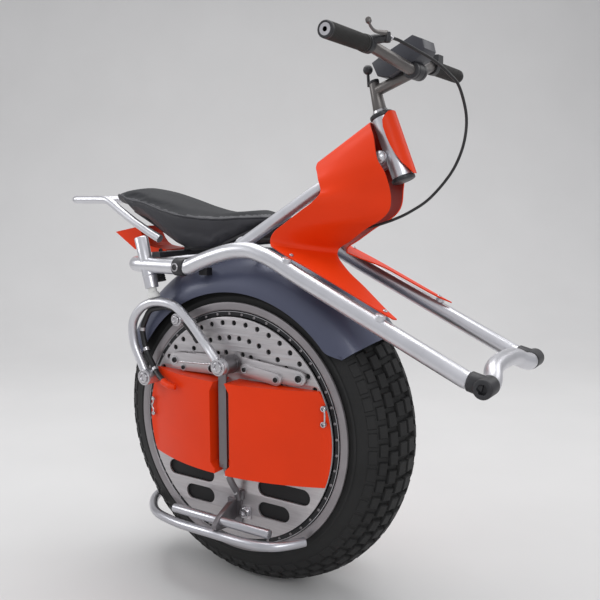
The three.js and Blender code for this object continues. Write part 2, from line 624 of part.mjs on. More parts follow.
// ---- handlebar ----
function handlebar() {
  const grips = GRIP;
  const points = [
    v(grips.x, -BAR_HALF_WIDTH, grips.z), v(grips.x, -118, grips.z), v(289.5, -106, 980.7),
    v(310, -24, 959.3), v(CLAMP.x, -15, CLAMP.z),
  ];
  const left = points.map((point) => v(point.x, -point.y, point.z)).reverse();
  const bar = tube([...points, ...left], BAR_RADIUS, 12);
  const end = rod(v(grips.x, -BAR_HALF_WIDTH, grips.z), v(grips.x, -252, grips.z), 11.5, 16);
  add('handlebar', bar.add(both(end)), 'darkMetal');
  const barClear = tube([...points, ...left], BAR_RADIUS + 0.4, 12);
  const neck = along(HEAD_TOP, HEAD_AXIS, 20);
  const top = v(236, 0, 944);
  const column = rod(neck, top, 9.8, 16);
  const arm = rod(v(240, 0, 930), v(304, 0, 954), 9.3, 12);
  const clamp = rod(v(CLAMP.x, -17, CLAMP.z), v(CLAMP.x, 17, CLAMP.z), 14, 16);
  const steerer = rod(along(HEAD_TOP, HEAD_AXIS, -HEAD_LENGTH + 10), neck, 8, 12);
  const collar = rod(along(HEAD_TOP, HEAD_AXIS, GAP), along(HEAD_TOP, HEAD_AXIS, 6), 14, 16);
  add('stem', union([column, arm, clamp, steerer, collar]).subtract(barClear), 'darkMetal');
  const grip = rod(v(grips.x, -135, grips.z), v(grips.x, -BAR_HALF_WIDTH + GAP, grips.z), GRIP_RADIUS, 16);
  const hollow = rod(v(grips.x, -130, grips.z), v(grips.x, -260, grips.z), 10.2, 16);
  addPair('grip', grip.subtract(hollow), 'rubber');
  const ring = rod(v(grips.x, -119, grips.z), v(grips.x, -133, grips.z), 14, 16);
  const bore = hollow.translate([0, 30, 0]);
  const body = tube([v(296, -126, 987), v(306, -112, 991), v(313, -100, 993)], 6.5, 8);
  const slot = box([311, -113, 999.2], [24, 24, 8]);
  add('brake_perch', union([ring, body]).subtract(bore).subtract(slot), 'black');
  const pod = union([mirrored(ring), box([295, 121, 993], [23, 22, 17])]);
  add('switch_pod', pod.subtract(mirrored(bore)).subtract(barClear), 'black');
  const blade = [
    v(313, -108, 999), v(312, -132, 996.5), v(313, -150, 995), v(317, -172, 998), v(322, -188, 1003),
  ];
  add('brake_lever', tube(blade, 3.2, 8).add(ball([322, -188, 1003], 4.5, 8)), 'black');
}

function consoleBox() {
  const side = [
    [254, 951], [243, 973], [258, 982], [316, 1011], [334, 1003], [338, 988], [330, 975], [276, 948],
  ];
  const body = sidePlate(shapeOf(side), -25, 25);
  const bar = rod(v(GRIP.x, -118, GRIP.z - 2), v(CLAMP.x, -16, CLAMP.z), BAR_RADIUS + 2, 12);
  const clamp = rod(v(CLAMP.x, -40, CLAMP.z), v(CLAMP.x, 40, CLAMP.z), 14.5, 16);
  const arm = rod(v(236, 0, 928.5), v(306, 0, 954.8), 9.8, 12);
  const column = rod(v(240, 0, 930), v(235, 0, 952), 10.5, 16);
  add('console', body.subtract(both(bar)).subtract(clamp).subtract(arm).subtract(column), 'black');
  const stalk = rod(v(226, 0, 938), v(224, 0, 962), 2.5, 8).add(ball([224, 0, 967], 8.5, 12));
  add('knob_lever', stalk.subtract(rod(v(244, 0, 923), v(235, 0, 947), 11.4, 16)), 'black');
}

// Brake cable from the right lever, round in front of the head, into the fairing.
function brakeCable() {
  const spline = new THREE.CatmullRomCurve3([
    v(313.5, -99.2, 993.2), v(319, -90, 992.5), v(327, -78, 988), v(339, -58, 979.5), v(356, -25, 966),
    v(370, 5, 948), v(379, 26, 930), v(385, 45, 887), v(383, 46, 846), v(371, 44, 808),
    v(353, 38, 777), v(327, 28, 746), v(300, 16, 726), v(277, 8, 714), v(250, 1, 704), v(222, -2, 697),
  ]);
  add('brake_cable', tube(spline.getSpacedPoints(48), 2.5, 8), 'black');
}

tyre();
rim();
hub();
sidePlates();
batteries();
catches();
centreBars();
arches();
brakes();
hoses();
feet();
rails();
rearHoop();
fender();
headTube();
headShield();
fairing();
saddle();
grabLoop();
tail();
handlebar();
consoleBox();
brakeCable();

export default group;
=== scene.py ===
"""Looks for the self-balancing single-wheel scooter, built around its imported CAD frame.

Lengths are millimetres in the frame of the part: +X forward, +Y left, +Z up, the tyre on the
ground at the origin. piece() turns them into metres. Right-hand pieces are at negative Y.
"""

import math

import bmesh
import bpy
from mathutils import Matrix, Vector


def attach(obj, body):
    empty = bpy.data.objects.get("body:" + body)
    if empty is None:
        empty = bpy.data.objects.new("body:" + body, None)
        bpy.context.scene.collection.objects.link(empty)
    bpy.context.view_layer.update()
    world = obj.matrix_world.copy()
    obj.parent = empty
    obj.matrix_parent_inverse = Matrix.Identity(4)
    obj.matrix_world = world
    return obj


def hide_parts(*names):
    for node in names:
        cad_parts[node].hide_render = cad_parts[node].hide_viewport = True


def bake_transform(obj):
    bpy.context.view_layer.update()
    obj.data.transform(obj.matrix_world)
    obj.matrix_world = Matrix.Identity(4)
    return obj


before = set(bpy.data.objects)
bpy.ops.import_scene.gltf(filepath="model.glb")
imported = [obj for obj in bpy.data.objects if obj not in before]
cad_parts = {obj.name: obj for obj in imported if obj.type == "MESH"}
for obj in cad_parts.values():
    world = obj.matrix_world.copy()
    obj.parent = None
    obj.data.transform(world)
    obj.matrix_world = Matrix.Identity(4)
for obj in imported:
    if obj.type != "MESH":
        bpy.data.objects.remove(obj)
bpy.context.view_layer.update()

MM = 0.001
AXLE_Z = 320
TYRE_CORE_RADIUS = 238
TYRE_CORE_HEIGHT = 74.2  # from the core radius to the foot of the knobs
TYRE_CORE_HALF_WIDTH = 80.5
RIM_HALF_WIDTH = 88
PLATE_RADIUS = 212
PLATE_FACE_Y = -92
BATTERY_BOTTOM_Z = 245
BATTERY_TOP_Z = 418
BATTERY_DEPTH = 140  # from the wheel's mid-plane to the battery's face
BATTERY_BOW = 0.0012
ARCH_Y = -120
BRAKE_ARMS = ("brake_arm_right", "brake_arm_left")
RAIL_Y = -120
RAIL_RADIUS = 14.5
LEG_RADIUS = 8.7  # of the arched legs and the guard hoop
ELBOW_X = 490
ELBOW_Z = 472
FENDER_HALF_WIDTH = 98
FENDER_EDGE_RADIUS = 258
FENDER_RISE = 78
SHIELD_RADIUS = 23.6
STRUT_AXIS = Vector((-0.262, 0, 0.965))
STRUT_FOOT = Vector((-168, ARCH_Y, 552))
HEAD_AXIS = Vector((-0.371, 0, 0.928)).normalized()
HEAD_TOP = Vector((250, 0, 892))
HEAD_LENGTH = 122.8
CLAMP = Vector((312, 0, 957))
GRIP = Vector((287.6, 0, 982.6))
NEAR = Vector((0, -1, 0))  # outwards on the right side
CAMERA_PLACE = (0.8505, -1.1967, 0.7504)
CAMERA_TILT = 82.35
CAMERA_TURN = 32.57
CAMERA_LENS = 45.77


# ---- shapes: points in millimetres and the faces over them ----
class Shape:
    def __init__(self, points=(), faces=()):
        self.points = [Vector(p) for p in points]
        self.faces = [tuple(f) for f in faces]

    def __add__(self, other):
        start = len(self.points)
        moved = [tuple(i + start for i in f) for f in other.faces]
        return Shape(self.points + other.points, self.faces + moved)

    def mirrored(self):
        return Shape([(p.x, -p.y, p.z) for p in self.points], [f[::-1] for f in self.faces])

    def moved(self, offset):
        return Shape([p + Vector(offset) for p in self.points], self.faces)


def v(x, y, z):
    return Vector((x, y, z))


def total(shapes):
    result = Shape()
    for shape in shapes:
        result = result + shape
    return result


def both(shape):
    return shape + shape.mirrored()


def across(points, middle=()):
    """A line from the right side over to its own mirror image on the left."""
    return [*points, *middle, *[v(p.x, -p.y, p.z) for p in reversed(points)]]


def grid(rows, around=False, capped=False):
    """Faces over rows of points; around joins each row's last point to its first."""
    width = len(rows[0])
    faces = []
    for r in range(len(rows) - 1):
        for c in range(width if around else width - 1):
            a, b = r * width + c, r * width + (c + 1) % width
            faces.append((a, b, b + width, a + width))
    if capped:
        faces.append(tuple(range(width))[::-1])
        faces.append(tuple(range((len(rows) - 1) * width, len(rows) * width)))
    return Shape([p for row in rows for p in row], faces)


def perpendicular(axis):
    other = v(0, 0, 1) if abs(axis.z) < 0.8 else v(1, 0, 0)
    return axis.cross(other).normalized()


def spin(origin, axis, profile, sides=32):
    """A body turned about an axis from (distance, radius) stations; a third value gives flats."""
    axis = Vector(axis).normalized()
    side = perpendicular(axis)
    up = axis.cross(side)
    rows = []
    for distance, radius, *flats in profile:
        row = []
        for i in range(sides):
            angle = 2 * math.pi * i / sides
            reach = max(radius, 0.01)
            if flats:
                sector = 2 * math.pi / flats[0]
                reach /= math.cos(angle % sector - sector / 2)
            spoke = side * math.cos(angle) + up * math.sin(angle)
            row.append(Vector(origin) + axis * distance + spoke * reach)
        rows.append(row)
    return grid(rows, around=True, capped=True)


def rod(start, end, radius, end_radius=None, soft=0.8, sides=32):
    """A cylinder or cone with its two rims rounded off."""
    end_radius = radius if end_radius is None else end_radius
    length = (Vector(end) - Vector(start)).length
    return spin(start, Vector(end) - Vector(start), [
        (0, 0), (0, radius - soft), (soft * 0.3, radius - soft * 0.3), (soft, radius),
        (length - soft, end_radius), (length - soft * 0.3, end_radius - soft * 0.3),
        (length, end_radius - soft), (length, 0),
    ], sides)


def smooth_line(points, steps=6):
    """A curve through every point."""
    points = [Vector(p) for p in points]
    ends = [points[0] * 2 - points[1]] + points + [points[-1] * 2 - points[-2]]
    line = []
    for i in range(1, len(ends) - 2):
        a, b, c, d = ends[i - 1:i + 3]
        for k in range(steps):
            t = k / steps
            line.append(0.5 * (
                2 * b + (c - a) * t + (2 * a - 5 * b + 4 * c - d) * t ** 2
                + (3 * b - 3 * c + d - a) * t ** 3
            ))
    return line + [points[-1]]


def rounded(corners, reach, steps=8):
    """The corner points, with each inner corner rounded off over the given reach."""
    corners = [Vector(c) for c in corners]
    line = [corners[0]]
    for before, corner, after in zip(corners, corners[1:], corners[2:]):
        start = corner + (before - corner).normalized() * reach
        end = corner + (after - corner).normalized() * reach
        for k in range(steps + 1):
            t = k / steps
            line.append(start * (1 - t) ** 2 + corner * 2 * t * (1 - t) + end * t ** 2)
    return line + [corners[-1]]


def sweep(line, radius, sides=24, flatten=1.0, soft=1.0):
    """A round or oval rod along a line, its ends rounded off; radius may be one value per point."""
    line = [Vector(p) for p in line]
    radii = radius if isinstance(radius, list) else [radius] * len(line)
    first = (line[1] - line[0]).normalized()
    last = (line[-1] - line[-2]).normalized()
    line = [line[0], line[0] + first * soft] + line[1:-1] + [line[-1] - last * soft, line[-1]]
    radii = [radii[0] - soft, radii[0]] + radii[1:-1] + [radii[-1], radii[-1] - soft]
    side = perpendicular(first)
    rows = []
    for i, point in enumerate(line):
        before, after = line[max(i - 1, 0)], line[min(i + 1, len(line) - 1)]
        tangent = (after - before).normalized()
        side = (side - tangent * side.dot(tangent)).normalized()
        up = tangent.cross(side)
        row = []
        for k in range(sides):
            angle = 2 * math.pi * k / sides
            spoke = side * (math.cos(angle) * flatten) + up * math.sin(angle)
            row.append(point + spoke * radii[i])
        rows.append(row)
    return grid(rows, around=True, capped=True)


def ball(middle, radius, sides=28):
    """A round ball from a stack of rings."""
    angles = [math.radians(a) for a in range(-90, 91, 12)]
    return spin(middle, (0, 0, 1), [(radius * math.sin(a), radius * math.cos(a)) for a in angles], sides)


def arc(x, z, radius, start, end, steps=12):
    """Points (x, z) round an arc, in degrees."""
    angles = [math.radians(start + (end - start) * k / steps) for k in range(steps + 1)]
    return [(x + radius * math.cos(a), z + radius * math.sin(a)) for a in angles]


def plate(outline, y_near, y_far, holes=(), soft=0.6):
    """A side-view outline (x, z) as a plate between two y planes, with softened edges."""
    curve = bpy.data.curves.new("outline", "CURVE")
    curve.dimensions = "2D"
    curve.fill_mode = "BOTH"
    curve.extrude = abs(y_far - y_near) / 2 - soft
    curve.bevel_depth = soft
    curve.bevel_resolution = 1
    curve.offset = -soft
    for loop in [outline, *holes]:
        spline = curve.splines.new("POLY")
        spline.points.add(len(loop) - 1)
        for point, (x, z) in zip(spline.points, loop):
            point.co = (x, z, 0, 1)
        spline.use_cyclic_u = True
    holder = bpy.data.objects.new("outline", curve)
    mesh = bpy.data.meshes.new_from_object(holder)
    middle = (y_near + y_far) / 2
    points = [v(p.co.x, middle - p.co.z, p.co.y) for p in mesh.vertices]
    faces = [tuple(f.vertices) for f in mesh.polygons]
    bpy.data.objects.remove(holder)
    bpy.data.meshes.remove(mesh)
    bpy.data.curves.remove(curve)
    return Shape(points, faces)


def block(center, size, turn=None):
    """A box, whose edges piece() rounds with its bevel."""
    corners = [v(x, y, z) for x in (-0.5, 0.5) for y in (-0.5, 0.5) for z in (-0.5, 0.5)]
    points = []
    for corner in corners:
        point = v(*(c * s for c, s in zip(corner, size)))
        points.append(Vector(center) + (turn @ point if turn else point))
    faces = [(0, 1, 3, 2), (4, 6, 7, 5), (0, 4, 5, 1), (2, 3, 7, 6), (0, 2, 6, 4), (1, 5, 7, 3)]
    return Shape(points, faces)


def socket_bolt(face, axis, radius, height=4, socket=0.5):
    """A round head with a hexagonal socket; face is the middle of what it sits on."""
    hollow = radius * socket
    return spin(face, axis, [
        (0, 0), (0, radius), (height - 0.8, radius), (height - 0.2, radius - 0.5),
        (height, radius - 1), (height, hollow + 0.4), (height - 0.4, hollow, 6),
        (height * 0.35, hollow, 6), (height * 0.35, 0),
    ], 36)


def flange_bolt(face, axis, radius):
    """A wide washer with a rounded rim and the bolt head in the middle of it."""
    washer = spin(face, axis, [
        (0, 0), (0, radius - 0.6), (0.8, radius), (2.2, radius), (3.2, radius - 1.2),
        (3.2, radius * 0.8), (1.8, radius * 0.74), (1.8, 0),
    ], 48)
    return washer + socket_bolt(Vector(face) + Vector(axis) * 1.8, axis, radius * 0.66, 4.4, 0.55)


# ---- materials ----
def nodes_of(name, color, roughness, metallic):
    material = bpy.data.materials.new(name)
    material.use_nodes = True
    tree = material.node_tree
    shader = tree.nodes["Principled BSDF"]
    shader.inputs["Base Color"].default_value = (*color, 1)
    shader.inputs["Roughness"].default_value = roughness
    shader.inputs["Metallic"].default_value = metallic
    return material, tree, shader


def noise(tree, scale, stretch=(1, 1, 1), detail=3.0):
    place = tree.nodes.new("ShaderNodeTexCoord")
    mapping = tree.nodes.new("ShaderNodeMapping")
    mapping.inputs["Scale"].default_value = stretch
    texture = tree.nodes.new("ShaderNodeTexNoise")
    texture.inputs["Scale"].default_value = scale
    texture.inputs["Detail"].default_value = detail
    tree.links.new(place.outputs["Object"], mapping.inputs["Vector"])
    tree.links.new(mapping.outputs["Vector"], texture.inputs["Vector"])
    return texture.outputs["Fac"]


def spread(tree, source, low, high, socket):
    """The source, from 0.3 to 0.7, drives the socket from low to high."""
    span = tree.nodes.new("ShaderNodeMapRange")
    span.inputs["From Min"].default_value = 0.3
    span.inputs["From Max"].default_value = 0.7
    span.inputs["To Min"].default_value = low
    span.inputs["To Max"].default_value = high
    tree.links.new(source, span.inputs["Value"])
    tree.links.new(span.outputs["Result"], socket)


def tint(tree, source, dark, light, shader):
    ramp = tree.nodes.new("ShaderNodeValToRGB")
    ramp.color_ramp.elements[0].position = 0.3
    ramp.color_ramp.elements[0].color = (*dark, 1)
    ramp.color_ramp.elements[1].position = 0.7
    ramp.color_ramp.elements[1].color = (*light, 1)
    tree.links.new(source, ramp.inputs["Fac"])
    tree.links.new(ramp.outputs["Color"], shader.inputs["Base Color"])


def bump(tree, source, strength, distance, shader):
    node = tree.nodes.new("ShaderNodeBump")
    node.inputs["Strength"].default_value = strength
    node.inputs["Distance"].default_value = distance
    tree.links.new(source, node.inputs["Height"])
    tree.links.new(node.outputs["Normal"], shader.inputs["Normal"])


def shade(color, factor):
    return tuple(min(c * factor, 1.0) for c in color)


def finish(name, color, roughness, metallic=0.0, vary=0.08, grain=60, stretch=(1, 1, 1),
           relief=0.0, relief_scale=400, coat=0.0, rough_vary=0.05, sheen=0.0, shine=0.5):
    """A finish with slow colour drift, uneven roughness and a fine relief."""
    material, tree, shader = nodes_of(name, color, roughness, metallic)
    drift = noise(tree, grain, stretch)
    tint(tree, drift, shade(color, 1 - vary), shade(color, 1 + vary), shader)
    cloud = noise(tree, grain * 0.25, (1, 1, 1), 5.0)
    spread(tree, cloud, roughness - rough_vary, roughness + rough_vary, shader.inputs["Roughness"])
    if relief:
        bump(tree, noise(tree, relief_scale, stretch, 4.0), relief, 0.0006, shader)
    shader.inputs["Coat Weight"].default_value = coat
    shader.inputs["Coat Roughness"].default_value = 0.12
    shader.inputs["Sheen Weight"].default_value = sheen
    shader.inputs["Specular IOR Level"].default_value = shine
    return material


LOOKS = {}


def add_look(name, *settings, **options):
    LOOKS[name] = finish(name, *settings, **options)


add_look("orange_gloss", (0.76, 0.040, 0.002), 0.44, vary=0.04, grain=9, relief=0.03,
          relief_scale=900, coat=0.03, shine=0.2)
# a darker copy of the orange paint: painted shade for the inside of the fairing shell
add_look("orange_inside_painted_shade", (0.36, 0.015, 0.004), 0.45, vary=0.06, grain=12)
add_look("satin_tube", (0.66, 0.66, 0.69), 0.34, 0.88, vary=0.04, grain=30, relief=0.05,
          relief_scale=1400)
add_look("bolt_metal", (0.55, 0.54, 0.56), 0.27, 0.9, vary=0.08, grain=80, relief=0.04,
          relief_scale=1600)
add_look("brushed_plate", (0.52, 0.50, 0.51), 0.40, 0.75, vary=0.07, grain=24, stretch=(1, 1, 14),
          relief=0.12, relief_scale=260)
add_look("hub_metal", (0.20, 0.19, 0.20), 0.36, 0.8, vary=0.08, grain=40, relief=0.06,
          relief_scale=900)
add_look("guard_metal", (0.50, 0.50, 0.53), 0.30, 0.9, vary=0.05, grain=26, relief=0.05,
          relief_scale=1200)
add_look("rim_grey", (0.30, 0.28, 0.29), 0.42, 0.7, vary=0.08, grain=30, relief=0.06,
          relief_scale=800)
add_look("slate_gloss", (0.070, 0.078, 0.125), 0.42, 0.25, vary=0.05, grain=8, relief=0.03,
          relief_scale=1200, coat=0.15)
add_look("black_plastic", (0.020, 0.020, 0.023), 0.46, vary=0.15, grain=50, relief=0.12,
          relief_scale=1500)
add_look("black_steel", (0.014, 0.014, 0.016), 0.38, 0.3, vary=0.15, grain=40, relief=0.06,
          relief_scale=900)
add_look("console_slate", (0.036, 0.037, 0.046), 0.46, vary=0.08, grain=20, relief=0.10,
          relief_scale=1800)
add_look("bar_grey", (0.15, 0.14, 0.135), 0.36, 0.7, vary=0.08, grain=40, relief=0.05,
          relief_scale=900)
add_look("tyre_rubber", (0.013, 0.013, 0.013), 0.66, vary=0.20, grain=16, relief=0.35,
          relief_scale=700, shine=0.35)
add_look("grip_rubber", (0.017, 0.016, 0.015), 0.66, vary=0.18, grain=40, relief=0.30,
          relief_scale=900, shine=0.4)
add_look("cable_black", (0.012, 0.012, 0.013), 0.4, vary=0.15, grain=60, relief=0.10,
          relief_scale=1500)
add_look("seat_side", (0.026, 0.026, 0.032), 0.52, vary=0.12, grain=26, relief=0.45,
          relief_scale=620, sheen=0.05)
add_look("seat_top", (0.020, 0.021, 0.024), 0.66, vary=0.10, grain=26, relief=0.50,
          relief_scale=560, sheen=0.0, shine=0.25)
add_look("white_nylon", (0.72, 0.72, 0.70), 0.45, vary=0.04, grain=30, relief=0.05,
          relief_scale=900)
# near black: painted shade for the dark hub interior seen through the plate's holes and slots
add_look("hole_painted_shade", (0.006, 0.006, 0.007), 0.7, vary=0.2, grain=30)


# ---- pieces ----
def mesh_object(name, shape, looks, smooth=38):
    mesh = bpy.data.meshes.new(name)
    mesh.from_pydata([p * MM for p in shape.points], [], shape.faces)
    work = bmesh.new()
    work.from_mesh(mesh)
    bmesh.ops.remove_doubles(work, verts=work.verts, dist=1e-6)
    bmesh.ops.dissolve_degenerate(work, edges=work.edges, dist=1e-7)
    bmesh.ops.recalc_face_normals(work, faces=work.faces)
    work.to_mesh(mesh)
    work.free()
    mesh.shade_smooth()
    mesh.set_sharp_from_angle(angle=math.radians(smooth))
    for look in looks:
        mesh.materials.append(LOOKS[look])
    obj = bpy.data.objects.new(name, mesh)
    bpy.context.scene.collection.objects.link(obj)
    return obj


def bevel(obj, width, segments=2, angle=35):
    modifier = obj.modifiers.new("soft_edges", "BEVEL")
    modifier.width = width * MM
    modifier.segments = segments
    modifier.limit_method = "ANGLE"
    modifier.angle_limit = math.radians(angle)
    modifier.harden_normals = True
    return obj


def piece(name, shape, look, body, stands_for=(), edge=0.0, smooth=38):
    obj = mesh_object(name, shape, [look], smooth)
    if edge:
        bevel(obj, edge)
    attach(obj, body)
    if stands_for:
        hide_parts(*stands_for)
    return obj


def pair(name, shape, look, body, stands_for=(), edge=0.0, smooth=38, bodies=None):
    """The right-hand piece and its mirror image."""
    for side, body_of in zip(("right", "left"), bodies or (body, body)):
        made = shape if side == "right" else shape.mirrored()
        nodes = [f"{node}_{side}" for node in stands_for]
        piece(f"{name}_{side}", made, look, body_of, nodes, edge, smooth)


def skin(name, shape, looks, node, thickness, offset, edge, smooth=60):
    """A thin shell of even thickness on the frame; a second look covers its inside."""
    obj = mesh_object(name, shape, looks, smooth)
    modifier = obj.modifiers.new("skin", "SOLIDIFY")
    modifier.thickness = thickness * MM
    modifier.offset = offset
    modifier.material_offset = len(looks) - 1
    bevel(obj, edge)
    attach(obj, "frame")
    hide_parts(node)


def dress(node, look, edge=0.8):
    """A CAD node that stays gets its finish and softened edges."""
    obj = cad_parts[node]
    obj.data.materials.clear()
    obj.data.materials.append(LOOKS[look])
    custom = obj.data.attributes.get("custom_normal")
    if custom:
        obj.data.attributes.remove(custom)
    obj.data.shade_smooth()
    obj.data.set_sharp_from_angle(angle=math.radians(30))
    if edge:
        bevel(obj, edge)


# ---- wheel ----
def about_axle(radius, angle, y):
    return v(radius * math.cos(angle), y, AXLE_Z + radius * math.sin(angle))


def ring(profile, sides=144):
    """A ring turned about the axle from (y, radius) stations, closed on itself."""
    rows = []
    for i in range(sides + 1):
        angle = 2 * math.pi * i / sides
        rows.append([about_axle(radius, angle, y) for y, radius in profile])
    return grid(rows, around=True)


def tyre_surface(turn, bank, lift=0.0):
    """A point of the tread: bank 0 is the middle of the crown, 90 the widest point."""
    tilt = math.radians(90 - bank)
    radius = TYRE_CORE_RADIUS + (TYRE_CORE_HEIGHT + lift) * math.sin(tilt)
    return about_axle(radius, turn, (TYRE_CORE_HALF_WIDTH + lift * 0.6) * math.cos(tilt))


def tread_block(turn, length, bank_low, bank_high, height):
    """One knob, with walls that slope in towards its worn top."""
    rows = []
    for shrink, lift in ((0.0, -2.0), (0.10, height - 1.6), (0.2, height)):
        row = []
        trim = shrink * (bank_high - bank_low) / 2
        cut = shrink * length / 2
        for bank, around in (
            (bank_low + trim, -length / 2 + cut), (bank_high - trim, -length / 2 + cut),
            (bank_high - trim, length / 2 - cut), (bank_low + trim, length / 2 - cut),
        ):
            row.append(tyre_surface(turn + around, bank, lift))
        rows.append(row)
    return grid(rows, around=True, capped=True)


def tyre():
    def section_point(bank):
        point = tyre_surface(0, bank)
        return (point.y, point.x)
    half = [(78.5, 231), (79.5, 236), (80.2, 240), section_point(86), (82.0, 249), (80.6, 252)]
    half += [section_point(bank) for bank in (80, 72, 64, 56, 48, 40, 30, 20, 10, 0)]
    outside = half + [(-y, radius) for y, radius in half[-2::-1]]
    inside = [(-68, 231), (-70, 250), (-50, 280), (0, 298), (50, 280), (70, 250), (68, 231)]
    carcass = ring(outside + inside, 180)
    pitches = 56
    pitch = 2 * math.pi / pitches
    knobs = []
    rows = (  # bank range, length as a share of the pitch, phase, height
        ((-7.8, 7.8), 0.78, 0.0, 7.8),
        ((9.4, 22.8), 0.76, 0.45, 7.4),
        ((24.4, 36.4), 0.80, 0.05, 6.6),
        ((38.0, 49.4), 0.76, 0.50, 5.0),
        ((51.0, 64.0), 0.86, 0.10, 3.2),
    )
    for i in range(pitches):
        for (low, high), share, phase, height in rows:
            turn = (i + phase) * pitch
            length = pitch * share
            knobs.append(tread_block(turn, length, low, high, height))
            if low > 0:
                knobs.append(tread_block(turn + pitch * 0.5, length, -high, -low, height))
    piece("tyre_tread", total([carcass, *knobs]), "tyre_rubber", "wheel", ["tyre"], smooth=32)


def rim():
    half = [
        (RIM_HALF_WIDTH - 8, 229.5), (RIM_HALF_WIDTH - 7, 238.0), (RIM_HALF_WIDTH - 3, 239.4),
        (RIM_HALF_WIDTH - 0.6, 238.6), (RIM_HALF_WIDTH, 236), (RIM_HALF_WIDTH, 227),
        (RIM_HALF_WIDTH - 0.7, 224.6), (RIM_HALF_WIDTH - 4, 223), (RIM_HALF_WIDTH - 10, 222.2),
    ]
    profile = half[::-1] + [(-y, radius) for y, radius in half]
    piece("rim_band", ring(profile), "rim_grey", "wheel", ["rim"], smooth=50)
    edge = 86.5
    band = [(-edge, 213.6), (-edge, 221.0), (edge, 221.0), (edge, 213.6)]
    piece("drive_band", ring(band), "black_steel", "wheel", ["drive_ring"])
    bolts = []
    for i in range(48):
        angle = 2 * math.pi * (i + 0.5) / 48
        bolts.append(socket_bolt(about_axle(217.2, angle, -edge), NEAR, 2.6, 1.6))
    lip = ring([(-edge - 0.9, 221.2), (-edge - 0.9, 222.1), (-edge + 2, 222.1), (-edge + 2, 221.2)])
    piece("drive_bolts", both(total(bolts)), "rim_grey", "wheel")
    piece("drive_lip", both(lip), "bolt_metal", "wheel")


# ---- hub ----
def side_plates():
    holes = []
    for radius in (201, 173, 145):
        for i in range(-10, 11):
            angle = 90 + i * 7.6 + (3.8 if radius == 173 else 0)
            x = radius * math.cos(math.radians(angle))
            z = AXLE_Z + radius * math.sin(math.radians(angle))
            if z > BATTERY_TOP_Z - 2 and math.hypot(x, z - 446) > 22:
                holes.append(arc(x, z, 4.9, 360, 18, 18))
    for inner, outer, z in ((52, 166, -103), (52, 122, -145)):
        right = arc(outer - 15, AXLE_Z + z, 15, 90, -90)
        left = arc(inner + 15, AXLE_Z + z, 15, -90, -270)
        slot = right + left
        holes.append(slot)
        holes.append([(-x, zz) for x, zz in slot])
    outline = arc(0, AXLE_Z, PLATE_RADIUS, 0, 357.5, 143)
    shape = plate(outline, PLATE_FACE_Y, PLATE_FACE_Y + 4, holes, 0.5)
    pair("plate_face", shape, "brushed_plate", "hub", ["side_plate"], smooth=30)
    # a near-black disc just behind the plate face: painted shade showing through the holes and slots
    pair("plate_shade_disc", rod(v(0, -86.9, AXLE_Z), v(0, -84, AXLE_Z), 209, soft=0.5, sides=96),
         "hole_painted_shade", "hub")
    nut = plate(arc(25, 162, 17, 45, 315, 3), -96, PLATE_FACE_Y, soft=0.7)
    stud = socket_bolt(v(25, -96, 162), NEAR, 10, 6)
    pair("plate_anchor", nut + stud, "bolt_metal", "hub")
    dress("hub_core", "black_steel", 0)


def battery_edge(z):
    """Inner and outer x of a front battery at a height."""
    near_top = max(0, (BATTERY_TOP_Z - z) / 1.8)
    near_bottom = max(0, z - BATTERY_BOTTOM_Z - 9)
    inner = 12 + min(10, near_top, near_bottom)
    outer = math.sqrt((PLATE_RADIUS - 1) ** 2 - (z - AXLE_Z) ** 2)
    return inner, outer


def battery(rear):
    heights = [245, 248, 254, 258, 264, 275, 290, 305, 320, 335, 350, 365, 380, 390, 400, 405, 411, 418]
    rows = []
    for z in heights:
        inner, outer = battery_edge(z)
        row = [v(outer, PLATE_FACE_Y - 0.5, z), v(inner, PLATE_FACE_Y - 0.5, z)]
        for k in range(19):
            x = inner + (outer - inner) * k / 18
            bowed = BATTERY_BOW * x * x - BATTERY_DEPTH
            row.append(v(x, min(bowed, PLATE_FACE_Y - 1.5), z))
        rows.append(row)
    shape = grid(rows, around=True, capped=True)
    return Shape([(-p.x, p.y, p.z) for p in shape.points], shape.faces) if rear else shape


def batteries():
    pair("battery_case_front", battery(False), "orange_gloss", "hub", ["battery_front"], 2.2)
    pair("battery_case_rear", battery(True), "orange_gloss", "hub", ["battery_rear"], 2.2)
    boot = sweep(smooth_line([v(-146, -127, 399), v(-136, -130, 396), v(-118, -134.5, 394),
                              v(-108, -133, 394)]), [7.2] * 6 + [6.8] * 6 + [5.5] * 6 + [2.0], soft=0.5)
    pair("hose_boot", boot, "orange_gloss", "hub")


def catches():
    def catch(x, z, side):
        screws = [socket_bolt(v(x, -97, z + dz), NEAR, 5.2, 6.5) for dz in (-14, 14)]
        bail = sweep(rounded([v(x + side, -102, z - 14), v(x + 4 * side, -103, z - 8),
                              v(x + 4 * side, -103, z + 8), v(x + side, -102, z + 14)], 4), 1.6, 12)
        return total(screws) + bail
    pair("catch_front", catch(198, 376, 1), "bolt_metal", "hub", ["battery_catch_front"])
    wave = [v(-204 + 3.5 * (i % 2), -98, 318 + 9 * i) for i in range(5)]
    rear = sweep(smooth_line(wave, 5), 1.8, 12)
    rear += total([socket_bolt(v(-200, -97, z), NEAR, 4, 4) for z in (321, 351)])
    pair("catch_rear", rear, "bolt_metal", "hub", ["battery_catch_rear"])


